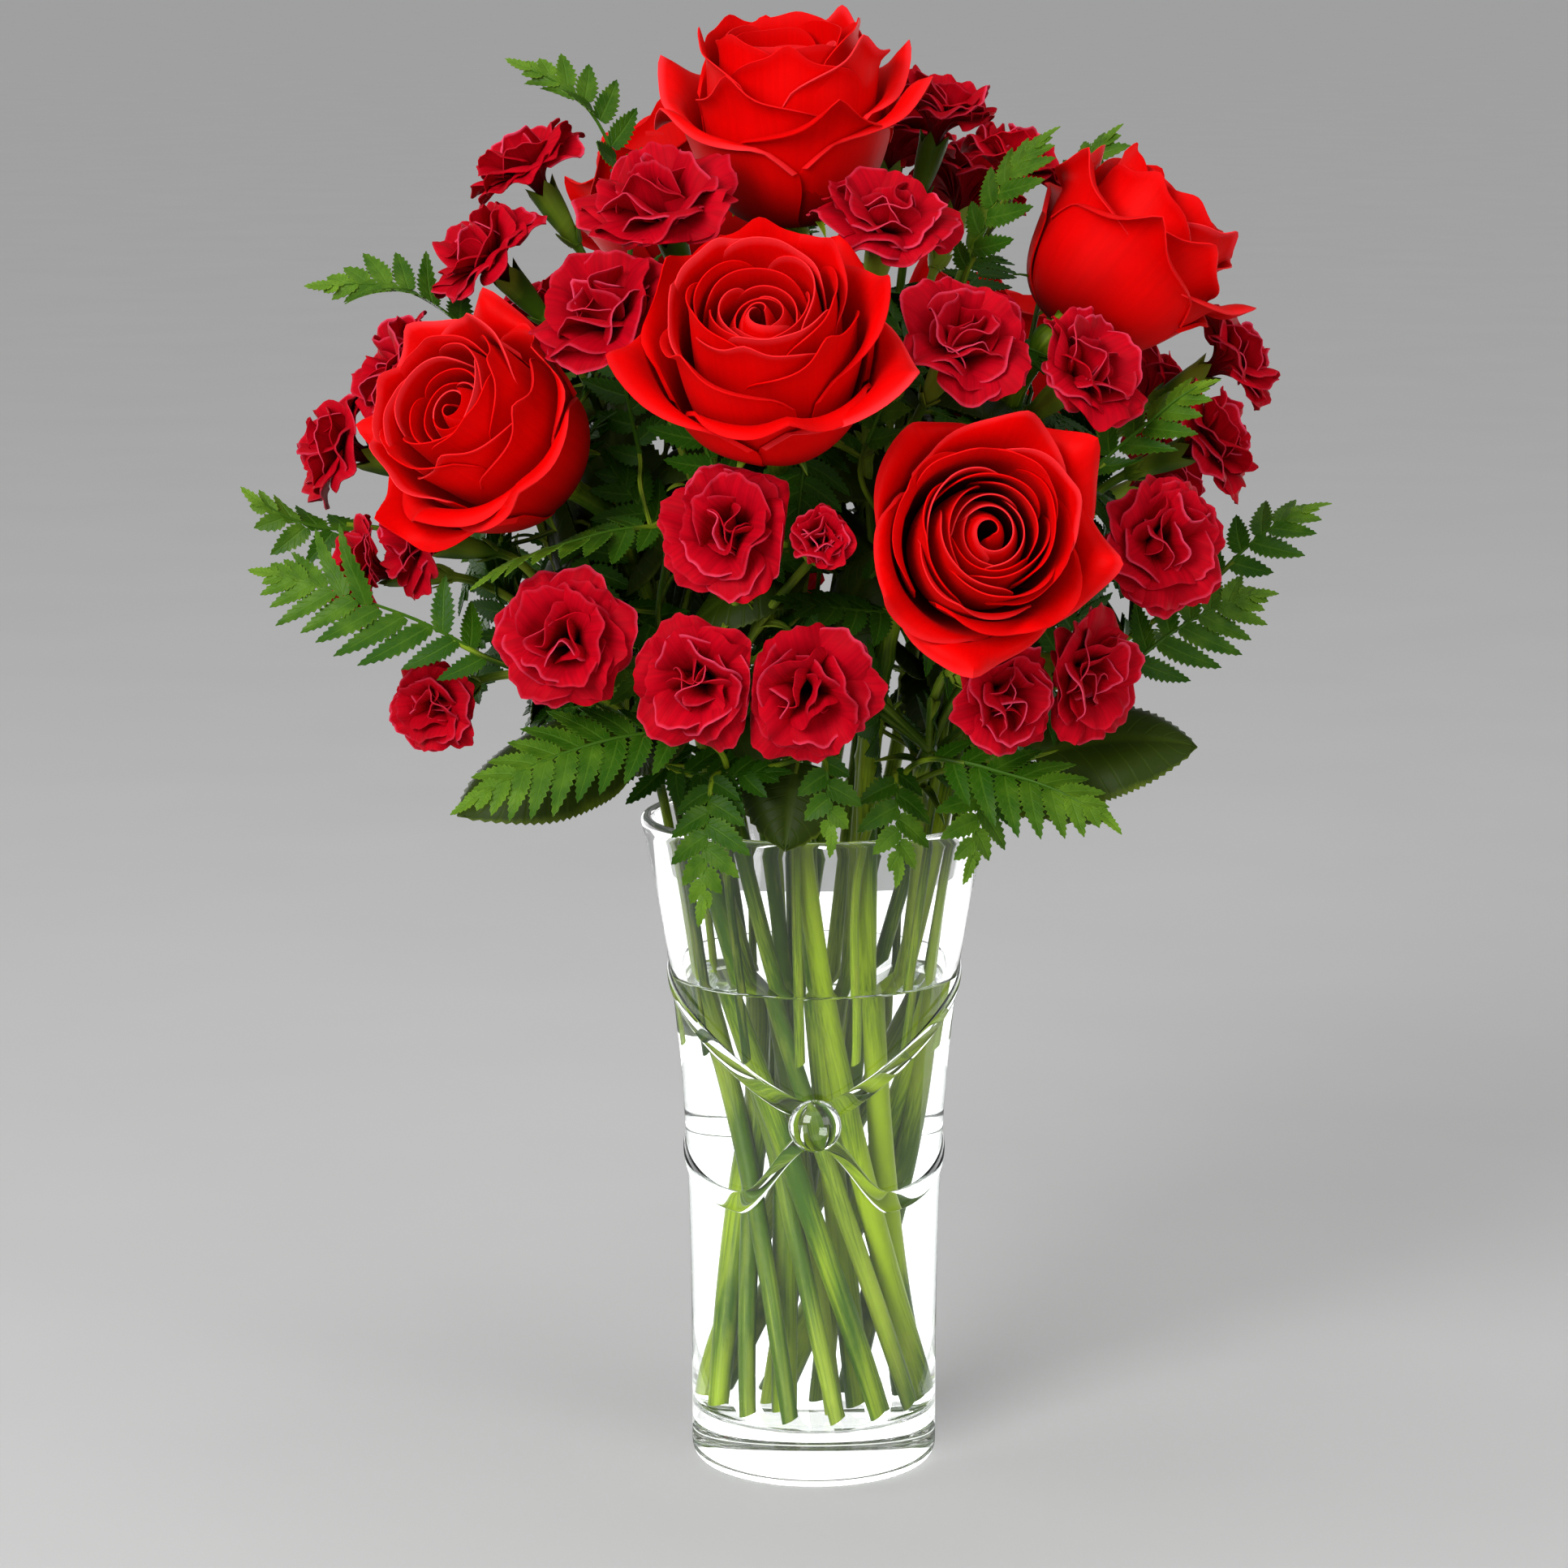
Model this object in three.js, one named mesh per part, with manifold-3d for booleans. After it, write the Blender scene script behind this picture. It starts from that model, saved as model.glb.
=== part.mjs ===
// Red roses, crimson spray carnations, fern and broad leaves in a clear flared glass vase.
// Millimetres, +Z up. The origin is the centre of the vase's foot and the front looks along -Y.
import * as THREE from 'three';
import { mergeVertices } from 'three/addons/utils/BufferGeometryUtils.js';
import Module from 'manifold-3d';

const wasm = await Module();
wasm.setup();

// ---------------------------------------------------------------- driving dimensions

const GAP = 0.3; // clearance between pieces that touch
const ROOM = 0.4; // clearance of the water round the stems and inside the glass

const VASE = {
  height: 228, // foot to rim
  footRadius: 36, // flat spot that it stands on
  footRound: 2.3, // rounding of the foot's edge
  baseRadius: 42.3, // outside, just above the foot
  flare: 17.5, // how much wider the rim is than the base
  flarePower: 3.2, // the flare gathers towards the rim
  wall: 4,
  lip: 2, // rounding of the rim
  floor: 19, // thickness of the heavy base
  floorRound: 5, // rounding where the floor meets the wall
  sides: 28,
};
const WATER_TOP = 172;

// Heights of the rings of the wall: outside below and above the ribbon, and inside.
const OUTER_BELOW = [7, 56];
const OUTER_ABOVE = [195];
const INNER_WALL = [200, WATER_TOP, 145, 110, 60, VASE.floor + VASE.floorRound];

// Two raised bands start at a round knot on the front and meet again at the back. Spans are the
// angles from the front, in radians, over which a band climbs or dips.
const RIBBON = {
  width: 5,
  proud: 1.9,
  upper: { start: 4, rise: 41, span: 1.9, ease: 0.8 },
  lower: { start: 4, dip: 25, dipSpan: 0.62, rise: 14, riseSpan: 1.4 },
};
const KNOT = { height: 129, radius: 9, depth: 5, out: 1.5, around: 10, down: 6 };

// The stems stand in a twisted bundle: each one is straight, and all turn the same way.
// The ring radii are at the mouth and the twist is in radians a millimetre at the waist.
const BUNDLE = { footZ: 20.5, waistZ: 95, mouthZ: 232, twist: -0.015, innerRing: 18, outerRing: 44 };
// The foliage has short stems that stand in a wide ring outside the bundle.
const COLLAR = { footZ: 148, footRadius: 37, mouthRadius: 51.5 };

// Radii of the stems.
const STEM = { rose: 3.5, spray: 2.7, branch: 1.5, frond: 1.5, petiole: 1.1, leaf: 1.7 };
const CALYX = { length: 20, radius: 4.6, neck: 2.3 };
const HIP = { length: 9, radius: 6.5 };
const SIDES = { rose: 6, spray: 5, branch: 4, leafy: 4, petiole: 3 };

// Handles of the curves of the stems, as shares of their reach.
const CURVES = {
  rose: { from: 0.7, to: 0.7, steps: 6 },
  spray: { from: 0.4, to: 0.4, steps: 3 },
  branch: { from: 0.6, to: 0.9, steps: 2 },
  leafy: { from: 0.5, to: 0.4, steps: 2 },
  petiole: { from: 0.6, to: 0.6, steps: 2 },
};
const SPRAY_FORK = 0.45; // share of the way at which a spray's stem forks
const LEAFY_FORK = 0.4;
const LEAFY_RISE = 4; // the fork of a frond stands this much higher than the straight way
const FORK_TAPER = 0.8; // a branch starts inside its stem, at this share of the stem's radius

// How stems of different plants are bent clear of each other and of the blooms.
const CLEAR = {
  stems: 1.3, // clearance between two stems
  blooms: 1, // clearance between a stem and a bloom
  push: 0.45, // share of an overlap that one round takes away
  stiffness: 0.1, // share of an unwanted bend that one round takes away
  rounds: 150,
};

// Blooms face away from one point, and the upper sides of leaves from a lower one.
const FOCUS = new THREE.Vector3(-5, 0, 300);
const LEAF_FOCUS = new THREE.Vector3(-5, 0, 240);
const LEAF_LIFT = 0.6; // leaves also face this much upwards

// Each bloom's ball takes this share of its radius. Petals keep to their own side of the plane
// between two balls: they are pressed back softly, over this many millimetres.
const BALL = 0.98;
const PRESS = { soft: 2, near: 1.15, far: 8 };

// A bloom is a stack of rings. A row has the shares of the bloom's radius that the ring reaches out
// and up, how many petals wave it, how far they swing it out and up, and its turn in steps.
const ROSE = {
  sides: 15,
  base: 0.86, // depth under the centre, as a share of the radius
  tip: 0.66,
  rings: [
    [0.16, -0.86, 0, 0, 0, 0],
    [0.62, -0.56, 5, 0.05, 0, 0],
    [0.8, -0.12, 5, 0.07, 0, 0],
    [0.96, 0.24, 5, 0.12, -0.07, 0],
    [0.66, 0.2, 0, 0, 0, 0],
    [0.74, 0.5, 5, 0.1, 0.06, 0.5],
    [0.48, 0.38, 0, 0, 0, 0.5],
    [0.46, 0.66, 3, 0.1, 0.05, 0.2],
    [0.24, 0.46, 0, 0, 0, 0.2],
  ],
};
const CARNATION = {
  sides: 12,
  base: 0.62,
  tip: 0.42,
  rings: [
    [0.15, -0.62, 0, 0, 0, 0],
    [1, 0.02, 4, -0.16, 0.1, 0],
    [0.6, 0.12, 0, 0, 0, 0],
    [0.8, 0.42, 4, -0.16, 0.1, 1.5],
    [0.38, 0.36, 0, 0, 0, 0],
    [0.42, 0.64, 4, -0.2, 0.08, 0.5],
  ],
};
const UNEVEN = 0.08; // how far petals differ at random, as a share of their length

// A blade is an arched leaf. Its rim is notched to this share of its half width every pitch, and
// the teeth or leaflets sweep forward by this share of the pitch.
const FERN_BLADE = { notch: 0.12, pitch: 12, sweep: 0.9 };
const LEAF_BLADE = { notch: 0.86, pitch: 13, sweep: 0.55 };
const BLADE = {
  thickness: 1,
  rootHalf: 0.9, // half the width of the rib
  reachOut: 1.4, // how far teeth stand out past the width
  droop: 0.25, // how far teeth and leaflets hang, as a share of their length
  uneven: 0.2, // how far teeth differ at random, as a share of their reach
  arch: 0.08, // how high the rib rises between its ends, as a share of its length
  belly: 0.16, // where along its outline the leaf starts
  fullness: 0.7, // power of the outline: lower is fuller
  least: 4, // pairs of teeth at least
  ribRadii: [5, 3], // room that bending keeps round the two halves of the rib
  clear: 3.2, // clearance of a blade from a bloom's ball
  power: 8, // how sharply it turns aside there
};

// Each bloom: its centre x, y, z and its radius. The first five roses are on the front.
const ROSES = [
  { at: [-9, -36, 464], radius: 40, ring: 'inner' },
  { at: [-16, -126, 394], radius: 41, ring: 'outer' },
  { at: [-105, -91, 367], radius: 38, ring: 'outer' },
  { at: [51, -122, 336], radius: 37, ring: 'outer' },
  { at: [101, -45, 420], radius: 37, ring: 'outer' },
  { at: [-46, 64, 430], radius: 37, ring: 'inner' },
  { at: [60, 94, 366], radius: 37, ring: 'outer' },
];

// Each spray: the heads that its stem carries. A head is one bloom, or two that grow together.
const SPRAYS = [
  { ring: 'outer', heads: [[[-97, -16, 451, 22], [-110, -36, 423, 23]]] },
  { ring: 'inner', heads: [[[-51, -84, 442, 28], [-68, -101, 408, 27]]] },
  { ring: 'inner', heads: [[[23, -83, 437, 24]], [[47, -106, 399, 25]]] },
  {
    ring: 'inner',
    heads: [
      [[43, -3, 468, 22], [67, -13, 451, 22]],
      [[28, 52, 457, 24], [54, 64, 439, 23]],
    ],
  },
  { ring: 'outer', heads: [[[88, -89, 388, 23]], [[141, -16, 386, 21], [134, -34, 360, 22]]] },
  {
    ring: 'outer',
    heads: [
      [[-140, -40, 384, 22], [-161, -26, 357, 22]],
      [[-133, -70, 331, 20], [-150, -58, 319, 20]],
    ],
  },
  {
    ring: 'outer',
    heads: [
      [[-28, -131, 341, 24], [1, -133, 338, 15]],
      [[-80, -115, 304, 24]],
      [[-125, -74, 276, 17]],
    ],
  },
  {
    ring: 'outer',
    heads: [
      [[-38, -124, 291, 23], [-3, -125, 288, 24]],
      [[89, -96, 289, 23], [62, -108, 284, 21]],
      [[113, -82, 331, 24]],
    ],
  },
  {
    ring: 'outer',
    heads: [
      [[-100, 52, 390, 24], [-104, 76, 360, 25]],
      [[-46, 113, 316, 24], [-18, 118, 293, 23]],
    ],
  },
  {
    ring: 'outer',
    heads: [
      [[0, 108, 388, 24], [-4, 121, 356, 24]],
      [[122, 46, 366, 23], [122, 62, 334, 23]],
      [[66, 112, 294, 24]],
    ],
  },
];

// Each frond: the leafy pieces that its stem carries, each from its base to its tip, and its width.
const FRONDS = [
  [
    [[-72, -14, 436], [-98, -5, 477], 24],
    [[-112, -44, 384], [-161, -30, 404], 30],
    [[-150, -26, 338], [-184, -30, 339], 22],
  ],
  [
    [[-106, -90, 296], [-177, -74, 320], 40],
    [[-52, -98, 336], [-100, -112, 321], 30],
    [[-40, -94, 284], [-76, -104, 299], 24],
  ],
  [
    [[-46, -100, 272], [-110, -118, 252], 36],
    [[-34, -78, 252], [-37, -92, 214], 24],
    [[3, -90, 260], [5, -98, 238], 16],
  ],
  [
    [[40, -92, 262], [92, -112, 246], 34],
    [[56, -78, 256], [50, -94, 228], 24],
    [[26, -74, 254], [27, -88, 226], 24],
  ],
  [
    [[101, -60, 285], [146, -44, 309], 34],
    [[136, -16, 312], [166, -12, 334], 26],
  ],
  [
    [[88, -76, 350], [122, -78, 381], 28],
    [[19, -95, 362], [35, -100, 391], 22],
  ],
  [
    [[50, -58, 418], [74, -54, 456], 28],
    [[84, 6, 430], [98, 12, 456], 22],
  ],
  [
    [[-84, 66, 296], [-146, 82, 318], 38],
    [[-56, 80, 262], [-92, 122, 252], 34],
  ],
  [
    [[79, 77, 274], [132, 106, 272], 36],
    [[10, 94, 263], [4, 136, 248], 32],
    [[84, 60, 392], [122, 84, 412], 28],
  ],
];

// Each leafy stem: its broad leaves, in the same way.
const LEAF_STEMS = [
  [
    [[-60, -66, 266], [-116, -84, 242], 44],
  ],
  [
    [[-6, -66, 256], [-10, -76, 229], 30],
  ],
  [
    [[72, -66, 258], [124, -70, 262], 36],
    [[62, -57, 252], [94, -72, 238], 30],
  ],
  [
    [[-52, 70, 256], [-100, 92, 238], 42],
    [[44, 74, 254], [80, 118, 243], 40],
  ],
];

// ---------------------------------------------------------------- small tools

const UP = new THREE.Vector3(0, 0, 1);
const TURN = 2 * Math.PI;
const vec = (a) => new THREE.Vector3(...a);
const clamp = (x) => Math.min(Math.max(x, 0), 1);
const smooth = (t) => t * t * (3 - 2 * t);

// Repeatable random draws between 0 and 1.
function draws(seed) {
  let state = seed * 7919 + 17;
  return () => {
    state = (Math.imul(state, 1664525) + 1013904223) >>> 0;
    return state / 4294967296;
  };
}

function middleOf(points) {
  const sum = points.reduce((total, p) => total.add(p), new THREE.Vector3());
  return sum.divideScalar(points.length);
}

function geometryOf(points, faces) {
  const geometry = new THREE.BufferGeometry();
  const positions = points.flatMap((p) => [p.x, p.y, p.z]);
  geometry.setAttribute('position', new THREE.Float32BufferAttribute(positions, 3));
  geometry.setIndex(faces.flat());
  return geometry;
}

// A closed body from rings with equal counts, closed by a point below the first and past the last.
function ringBody(first, rings, last) {
  const n = rings[0].length;
  const points = [first, ...rings.flat(), last];
  const faces = [];
  const id = (j, i) => 1 + j * n + (i % n);
  for (let i = 0; i < n; i += 1) {
    faces.push([0, id(0, i + 1), id(0, i)]);
    faces.push([points.length - 1, id(rings.length - 1, i), id(rings.length - 1, i + 1)]);
    for (let j = 0; j < rings.length - 1; j += 1) {
      faces.push([id(j, i), id(j, i + 1), id(j + 1, i + 1)]);
      faces.push([id(j, i), id(j + 1, i + 1), id(j + 1, i)]);
    }
  }
  return geometryOf(points, faces);
}

function solid(geometry) {
  const bare = new THREE.BufferGeometry();
  bare.setAttribute('position', geometry.getAttribute('position').clone());
  bare.setIndex(geometry.index ? geometry.index.clone() : null);
  const merged = mergeVertices(bare, 1e-4);
  const vertProperties = new Float32Array(merged.getAttribute('position').array);
  const triVerts = new Uint32Array(merged.index.array);
  return new wasm.Manifold(new wasm.Mesh({ numProp: 3, vertProperties, triVerts }));
}

function fromSolid(body) {
  const mesh = body.getMesh();
  const geometry = new THREE.BufferGeometry();
  geometry.setAttribute('position', new THREE.Float32BufferAttribute(mesh.vertProperties, 3));
  geometry.setIndex(new THREE.Uint32BufferAttribute(mesh.triVerts, 1));
  return geometry;
}

function fuse(geometries) {
  return fromSolid(geometries.map(solid).reduce((whole, next) => whole.add(next)));
}

// A round bar along points, with its own radius at each of them.
function bar(points, radii, sides) {
  let side = new THREE.Vector3(1, 0.3, 0);
  const rings = points.map((p, k) => {
    const before = points[Math.max(k - 1, 0)];
    const after = points[Math.min(k + 1, points.length - 1)];
    const along = after.clone().sub(before).normalize();
    side = side.clone().addScaledVector(along, -side.dot(along)).normalize();
    const other = along.clone().cross(side);
    return Array.from({ length: sides }, (_, i) => {
      const a = (TURN * i) / sides;
      const point = p.clone().addScaledVector(side, radii[k] * Math.cos(a));
      return point.addScaledVector(other, radii[k] * Math.sin(a));
    });
  });
  return ringBody(points[0], rings, points[points.length - 1]);
}

// ---------------------------------------------------------------- vase and water

const outerRadius = (z) => VASE.baseRadius + VASE.flare * (z / VASE.height) ** VASE.flarePower;
const innerRadius = (z) => outerRadius(z) - VASE.wall;

// The point at an angle from the front, turning towards +X.
function around(angle, radius, z) {
  return new THREE.Vector3(radius * Math.sin(angle), -radius * Math.cos(angle), z);
}

function circle(radius, z) {
  return Array.from({ length: VASE.sides }, (_, i) => around((TURN * i) / VASE.sides, radius, z));
}

// The height of each ribbon band at an angle from the front: both start behind the knot.
function upperBand(angle) {
  const { start, rise, span, ease } = RIBBON.upper;
  return KNOT.height + start + rise * smooth(clamp(Math.abs(angle) / span) ** ease);
}
function lowerBand(angle) {
  const { start, dip, dipSpan, rise, riseSpan } = RIBBON.lower;
  const down = smooth(clamp(Math.abs(angle) / dipSpan));
  const up = smooth(clamp((Math.abs(angle) - dipSpan) / riseSpan));
  return KNOT.height - start - dip * down + rise * up;
}

function bandRings(heightAt) {
  const rows = [[-RIBBON.width / 2, 0], [0, RIBBON.proud], [RIBBON.width / 2, 0]];
  return rows.map(([lift, proud]) =>
    Array.from({ length: VASE.sides }, (_, i) => {
      const a = (TURN * i) / VASE.sides;
      const z = heightAt(a > Math.PI ? a - TURN : a) + lift;
      return around(a, outerRadius(z) + proud, z);
    }));
}

function vaseGeometry() {
  const { height, wall, lip, floor } = VASE;
  const rings = [
    circle(VASE.footRadius, 0),
    circle(VASE.baseRadius - VASE.footRound, VASE.footRound),
    ...OUTER_BELOW.map((z) => circle(outerRadius(z), z)),
    ...bandRings(lowerBand),
    ...bandRings(upperBand),
    ...OUTER_ABOVE.map((z) => circle(outerRadius(z), z)),
    circle(outerRadius(height - lip), height - lip),
    circle(outerRadius(height) - wall / 2, height),
    circle(innerRadius(height - lip), height - lip),
    ...INNER_WALL.map((z) => circle(innerRadius(z), z)),
    circle(innerRadius(floor) - VASE.floorRound, floor),
  ];
  const body = ringBody(new THREE.Vector3(0, 0, 0), rings, new THREE.Vector3(0, 0, floor));
  const knot = new THREE.SphereGeometry(KNOT.radius, KNOT.around, KNOT.down);
  knot.scale(1, KNOT.depth / KNOT.radius, 1);
  knot.translate(0, -outerRadius(KNOT.height) - KNOT.out, KNOT.height);
  return fuse([body, knot]);
}

// The water fills the glass and has a plain hole for each stem that stands in it.
function waterGeometry(stems) {
  const bottom = VASE.floor + GAP;
  const fit = (z) => innerRadius(z) - ROOM;
  const heights = INNER_WALL.filter((z) => z <= WATER_TOP).reverse();
  const rings = [
    circle(fit(VASE.floor) - VASE.floorRound, bottom),
    ...heights.map((z, k) => circle(fit(z), k === 0 ? z + GAP : z)),
  ];
  const top = new THREE.Vector3(0, 0, WATER_TOP);
  let body = solid(ringBody(new THREE.Vector3(0, 0, bottom), rings, top));
  stems.forEach(({ foot, mouth, radius, sides }) => {
    const along = mouth.clone().sub(foot).normalize();
    const hole = [foot.clone().addScaledVector(along, -GAP), mouth];
    body = body.subtract(solid(bar(hole, [radius + ROOM, radius + ROOM], sides)));
  });
  return fromSolid(body);
}

// ---------------------------------------------------------------- routes of the stems

// Even places on a ring at the mouth, in the order of what the stems lead to.
function places(targets, radius) {
  const order = targets.map((t, i) => ({ i, angle: Math.atan2(t.y, t.x) }));
  order.sort((a, b) => a.angle - b.angle);
  const step = TURN / order.length;
  const sin = order.reduce((sum, o, k) => sum + Math.sin(o.angle - k * step), 0);
  const cos = order.reduce((sum, o, k) => sum + Math.cos(o.angle - k * step), 0);
  const start = Math.atan2(sin, cos);
  const found = [];
  order.forEach((o, k) => {
    const a = start + k * step;
    found[o.i] = new THREE.Vector3(radius * Math.cos(a), radius * Math.sin(a), BUNDLE.mouthZ);
  });
  return found;
}

// Where the straight stem through a point of the mouth meets another height.
function alongBundle(mouth, z) {
  const turn = BUNDLE.twist * (BUNDLE.mouthZ - BUNDLE.waistZ);
  const waist = mouth.clone().addScaledVector(UP.clone().cross(mouth), -turn);
  waist.divideScalar(1 + turn * turn);
  const lean = UP.clone().cross(waist).multiplyScalar(BUNDLE.twist * (z - BUNDLE.waistZ));
  return waist.add(lean).setZ(z);
}

function alongCollar(mouth, z) {
  const t = (z - COLLAR.footZ) / (BUNDLE.mouthZ - COLLAR.footZ);
  const r = COLLAR.footRadius + (COLLAR.mouthRadius - COLLAR.footRadius) * t;
  return mouth.clone().setZ(0).setLength(r).setZ(z);
}

// A smooth way between two points that leaves one and reaches the other in given directions.
function way(start, startAlong, end, endAlong, reach, { from, to, steps }) {
  return Array.from({ length: steps + 1 }, (_, k) => {
    const t = k / steps;
    const point = start.clone().multiplyScalar(2 * t ** 3 - 3 * t ** 2 + 1);
    point.addScaledVector(startAlong, from * reach * (t ** 3 - 2 * t ** 2 + t));
    point.addScaledVector(end, 3 * t ** 2 - 2 * t ** 3);
    return point.addScaledVector(endAlong, to * reach * (t ** 3 - t ** 2));
  });
}

// Every route is a chain of knots. Chains of different plants are bent clear of each other.
const knots = [];
const links = [];
const balls = [];

// The first knot of a chain and the last ones, as many as heldTail, stay where they are.
function addChain(points, { plant, radii, startKnot = null, heldTail = 1, own = '' }) {
  const ids = points.map((p, k) => {
    if (k === 0 && startKnot !== null) return startKnot;
    knots.push({ p: p.clone(), held: k === 0 || k >= points.length - heldTail });
    return knots.length - 1;
  });
  for (let k = 1; k < ids.length; k += 1) {
    links.push({ a: ids[k - 1], b: ids[k], radius: radii[k - 1], plant, own });
  }
  ids.slice(1, -1).forEach((id, k) => {
    const middle = middleOf([knots[ids[k]].p, knots[ids[k + 2]].p]);
    knots[id].chain = { before: ids[k], after: ids[k + 2], bend: knots[id].p.clone().sub(middle) };
  });
  return ids;
}

// The nearest points of two segments, as shares of their lengths.
function nearest(p, q, r, s) {
  const d1 = q.clone().sub(p);
  const d2 = s.clone().sub(r);
  const w = p.clone().sub(r);
  const a = d1.dot(d1);
  const e = d2.dot(d2);
  const b = d1.dot(d2);
  const c = d1.dot(w);
  const f = d2.dot(w);
  const det = a * e - b * b;
  const first = det > 1e-9 ? clamp((b * f - c * e) / det) : 0.5;
  const u = clamp((b * first + f) / e);
  return [clamp((b * u - c) / a), u];
}

// How far to move along off, the way from one body to another, when they need this much reach.
function easing(off, reach) {
  const distance = Math.max(off.length(), 0.01);
  return distance < reach ? (CLEAR.push * (reach - distance)) / distance : 0;
}

function pushLinks(one, two, push) {
  const [p, q] = [knots[one.a].p, knots[one.b].p];
  const [r, s] = [knots[two.a].p, knots[two.b].p];
  const [t, u] = nearest(p, q, r, s);
  const off = p.clone().lerp(q, t).sub(r.clone().lerp(s, u));
  const ease = easing(off, one.radius + two.radius + CLEAR.stems);
  push[one.a].addScaledVector(off, ease * (1 - t));
  push[one.b].addScaledVector(off, ease * t);
  push[two.a].addScaledVector(off, -ease * (1 - u));
  push[two.b].addScaledVector(off, -ease * u);
}

function pushFromBall(one, ball, push) {
  const [p, q] = [knots[one.a].p, knots[one.b].p];
  const along = q.clone().sub(p);
  const t = clamp(ball.c.clone().sub(p).dot(along) / along.lengthSq());
  const off = p.clone().lerp(q, t).sub(ball.c);
  const ease = easing(off, ball.radius + one.radius + CLEAR.blooms);
  push[one.a].addScaledVector(off, ease * (1 - t));
  push[one.b].addScaledVector(off, ease * t);
}

// Every round adds up what pushes each knot, and then moves all of them at once.
function bendClear() {
  for (let round = 0; round < CLEAR.rounds; round += 1) {
    const push = knots.map(() => new THREE.Vector3());
    links.forEach((one, i) => {
      links.slice(i + 1).forEach((two) => {
        if (two.plant !== one.plant) pushLinks(one, two, push);
      });
      balls.forEach((ball) => {
        if (ball.own !== one.own) pushFromBall(one, ball, push);
      });
    });
    knots.forEach(({ p, chain }, k) => {
      if (!chain) return;
      const middle = middleOf([knots[chain.before].p, knots[chain.after].p]);
      push[k].addScaledVector(middle.add(chain.bend).sub(p), CLEAR.stiffness);
    });
    knots.forEach((knot, k) => {
      if (!knot.held) knot.p.add(push[k]);
    });
  }
}

// ---------------------------------------------------------------- blooms

const facing = (centre) => centre.clone().sub(FOCUS).normalize();

// Petals that meet a neighbour are pressed back to their own side of the plane between the two.
function press(point, centre, radius, head) {
  balls.forEach((ball) => {
    const reach = radius + ball.radius;
    const toward = ball.c.clone().sub(centre);
    if (ball.head === head || toward.length() > PRESS.near * reach) return;
    const plane = centre.clone().addScaledVector(toward, radius / reach);
    toward.normalize();
    const room = plane.sub(point).dot(toward) - GAP;
    if (room > PRESS.far * PRESS.soft) return;
    const excess = room - PRESS.soft * Math.log(1 + Math.exp(room / PRESS.soft));
    point.addScaledVector(toward, excess);
  });
  return point;
}

function bloomGeometry({ centre, radius }, { rings, tip, sides }, seed, head) {
  const draw = draws(seed);
  const axis = facing(centre);
  const across = UP.clone().addScaledVector(axis, -axis.z).normalize();
  const other = axis.clone().cross(across);
  const spin = draw() * TURN;
  const tiers = rings.map(([out, up, petals, swing, lift, turn]) =>
    Array.from({ length: sides }, (_, i) => {
      const a = spin + (TURN * (i + turn)) / sides;
      const wave = petals ? Math.cos((petals * TURN * i) / sides) : 0;
      const uneven = petals ? (draw() - 0.5) * UNEVEN : 0;
      const r = radius * out * (1 + swing * wave + uneven);
      const h = radius * (up + lift * wave + uneven / 2);
      const point = centre.clone().addScaledVector(axis, h);
      point.addScaledVector(across, r * Math.cos(a)).addScaledVector(other, r * Math.sin(a));
      return press(point, centre, radius, head);
    }));
  const bottom = centre.clone().addScaledVector(axis, radius * rings[0][1]);
  const top = centre.clone().addScaledVector(axis, radius * tip);
  return ringBody(bottom, tiers, top);
}

// ---------------------------------------------------------------- leaves

// Even steps along an arched rib, with the direction of the rib and of the upper side in each.
function ribFrames(rib, count) {
  const curve = new THREE.CatmullRomCurve3(rib);
  const out = rib[0].clone().sub(LEAF_FOCUS).normalize().addScaledVector(UP, LEAF_LIFT);
  return Array.from({ length: count + 1 }, (_, k) => {
    const along = curve.getTangentAt(k / count);
    const face = out.clone().addScaledVector(along, -out.dot(along)).normalize();
    return { p: curve.getPointAt(k / count), along, face, side: along.clone().cross(face) };
  });
}

// A blade from base to tip: an arched rib with leaflets or teeth on both sides. Each step of the
// rib has a root and the end of a leaflet or tooth on either side.
function bladeGeometry(rib, width, { notch, pitch, sweep }, seed) {
  const draw = draws(seed);
  const count = Math.max(BLADE.least, Math.round(rib[0].distanceTo(rib[rib.length - 1]) / pitch));
  const frames = ribFrames(rib, count);
  const step = frames[0].p.distanceTo(frames[1].p);
  const outline = (k) => {
    const share = BLADE.belly + ((1 - BLADE.belly) * k) / count;
    return (width / 2) * Math.sin(Math.PI * share) ** BLADE.fullness;
  };
  const top = [];
  const rims = [[], []];
  frames.slice(0, count).forEach(({ p, along, face, side }, k) => {
    rims.forEach((rim, sideNumber) => {
      const outward = side.clone().multiplyScalar(sideNumber === 1 ? 1 : -1);
      const inset = outline(k) * notch + BLADE.rootHalf;
      const reach = outline(k + sweep) * (1 + BLADE.uneven * (draw() - 0.5)) + BLADE.reachOut;
      const root = p.clone().addScaledVector(outward, inset);
      const end = p.clone().addScaledVector(outward, reach).addScaledVector(along, sweep * step);
      end.addScaledVector(face, -BLADE.droop * (reach - inset));
      rim.push(top.push(root) - 1, top.push(end) - 1);
    });
  });
  const tip = top.push(frames[count].p.clone()) - 1;
  const [left, right] = rims;
  rims.forEach((rim) => rim.push(tip));
  const faces = [];
  for (let k = 0; k < 2 * count; k += 2) {
    faces.push([left[k], right[k], right[k + 2]]);
    if (left[k + 2] !== tip) faces.push([left[k], right[k + 2], left[k + 2]]);
    faces.push([left[k], left[k + 2], left[k + 1]]);
    faces.push([right[k], right[k + 1], right[k + 2]]);
  }
  const edge = [...right, ...left.slice(0, -1).reverse()];
  const up = middleOf(frames.map((frame) => frame.face)).normalize();
  return thicken(top, faces, edge, up);
}

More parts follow.
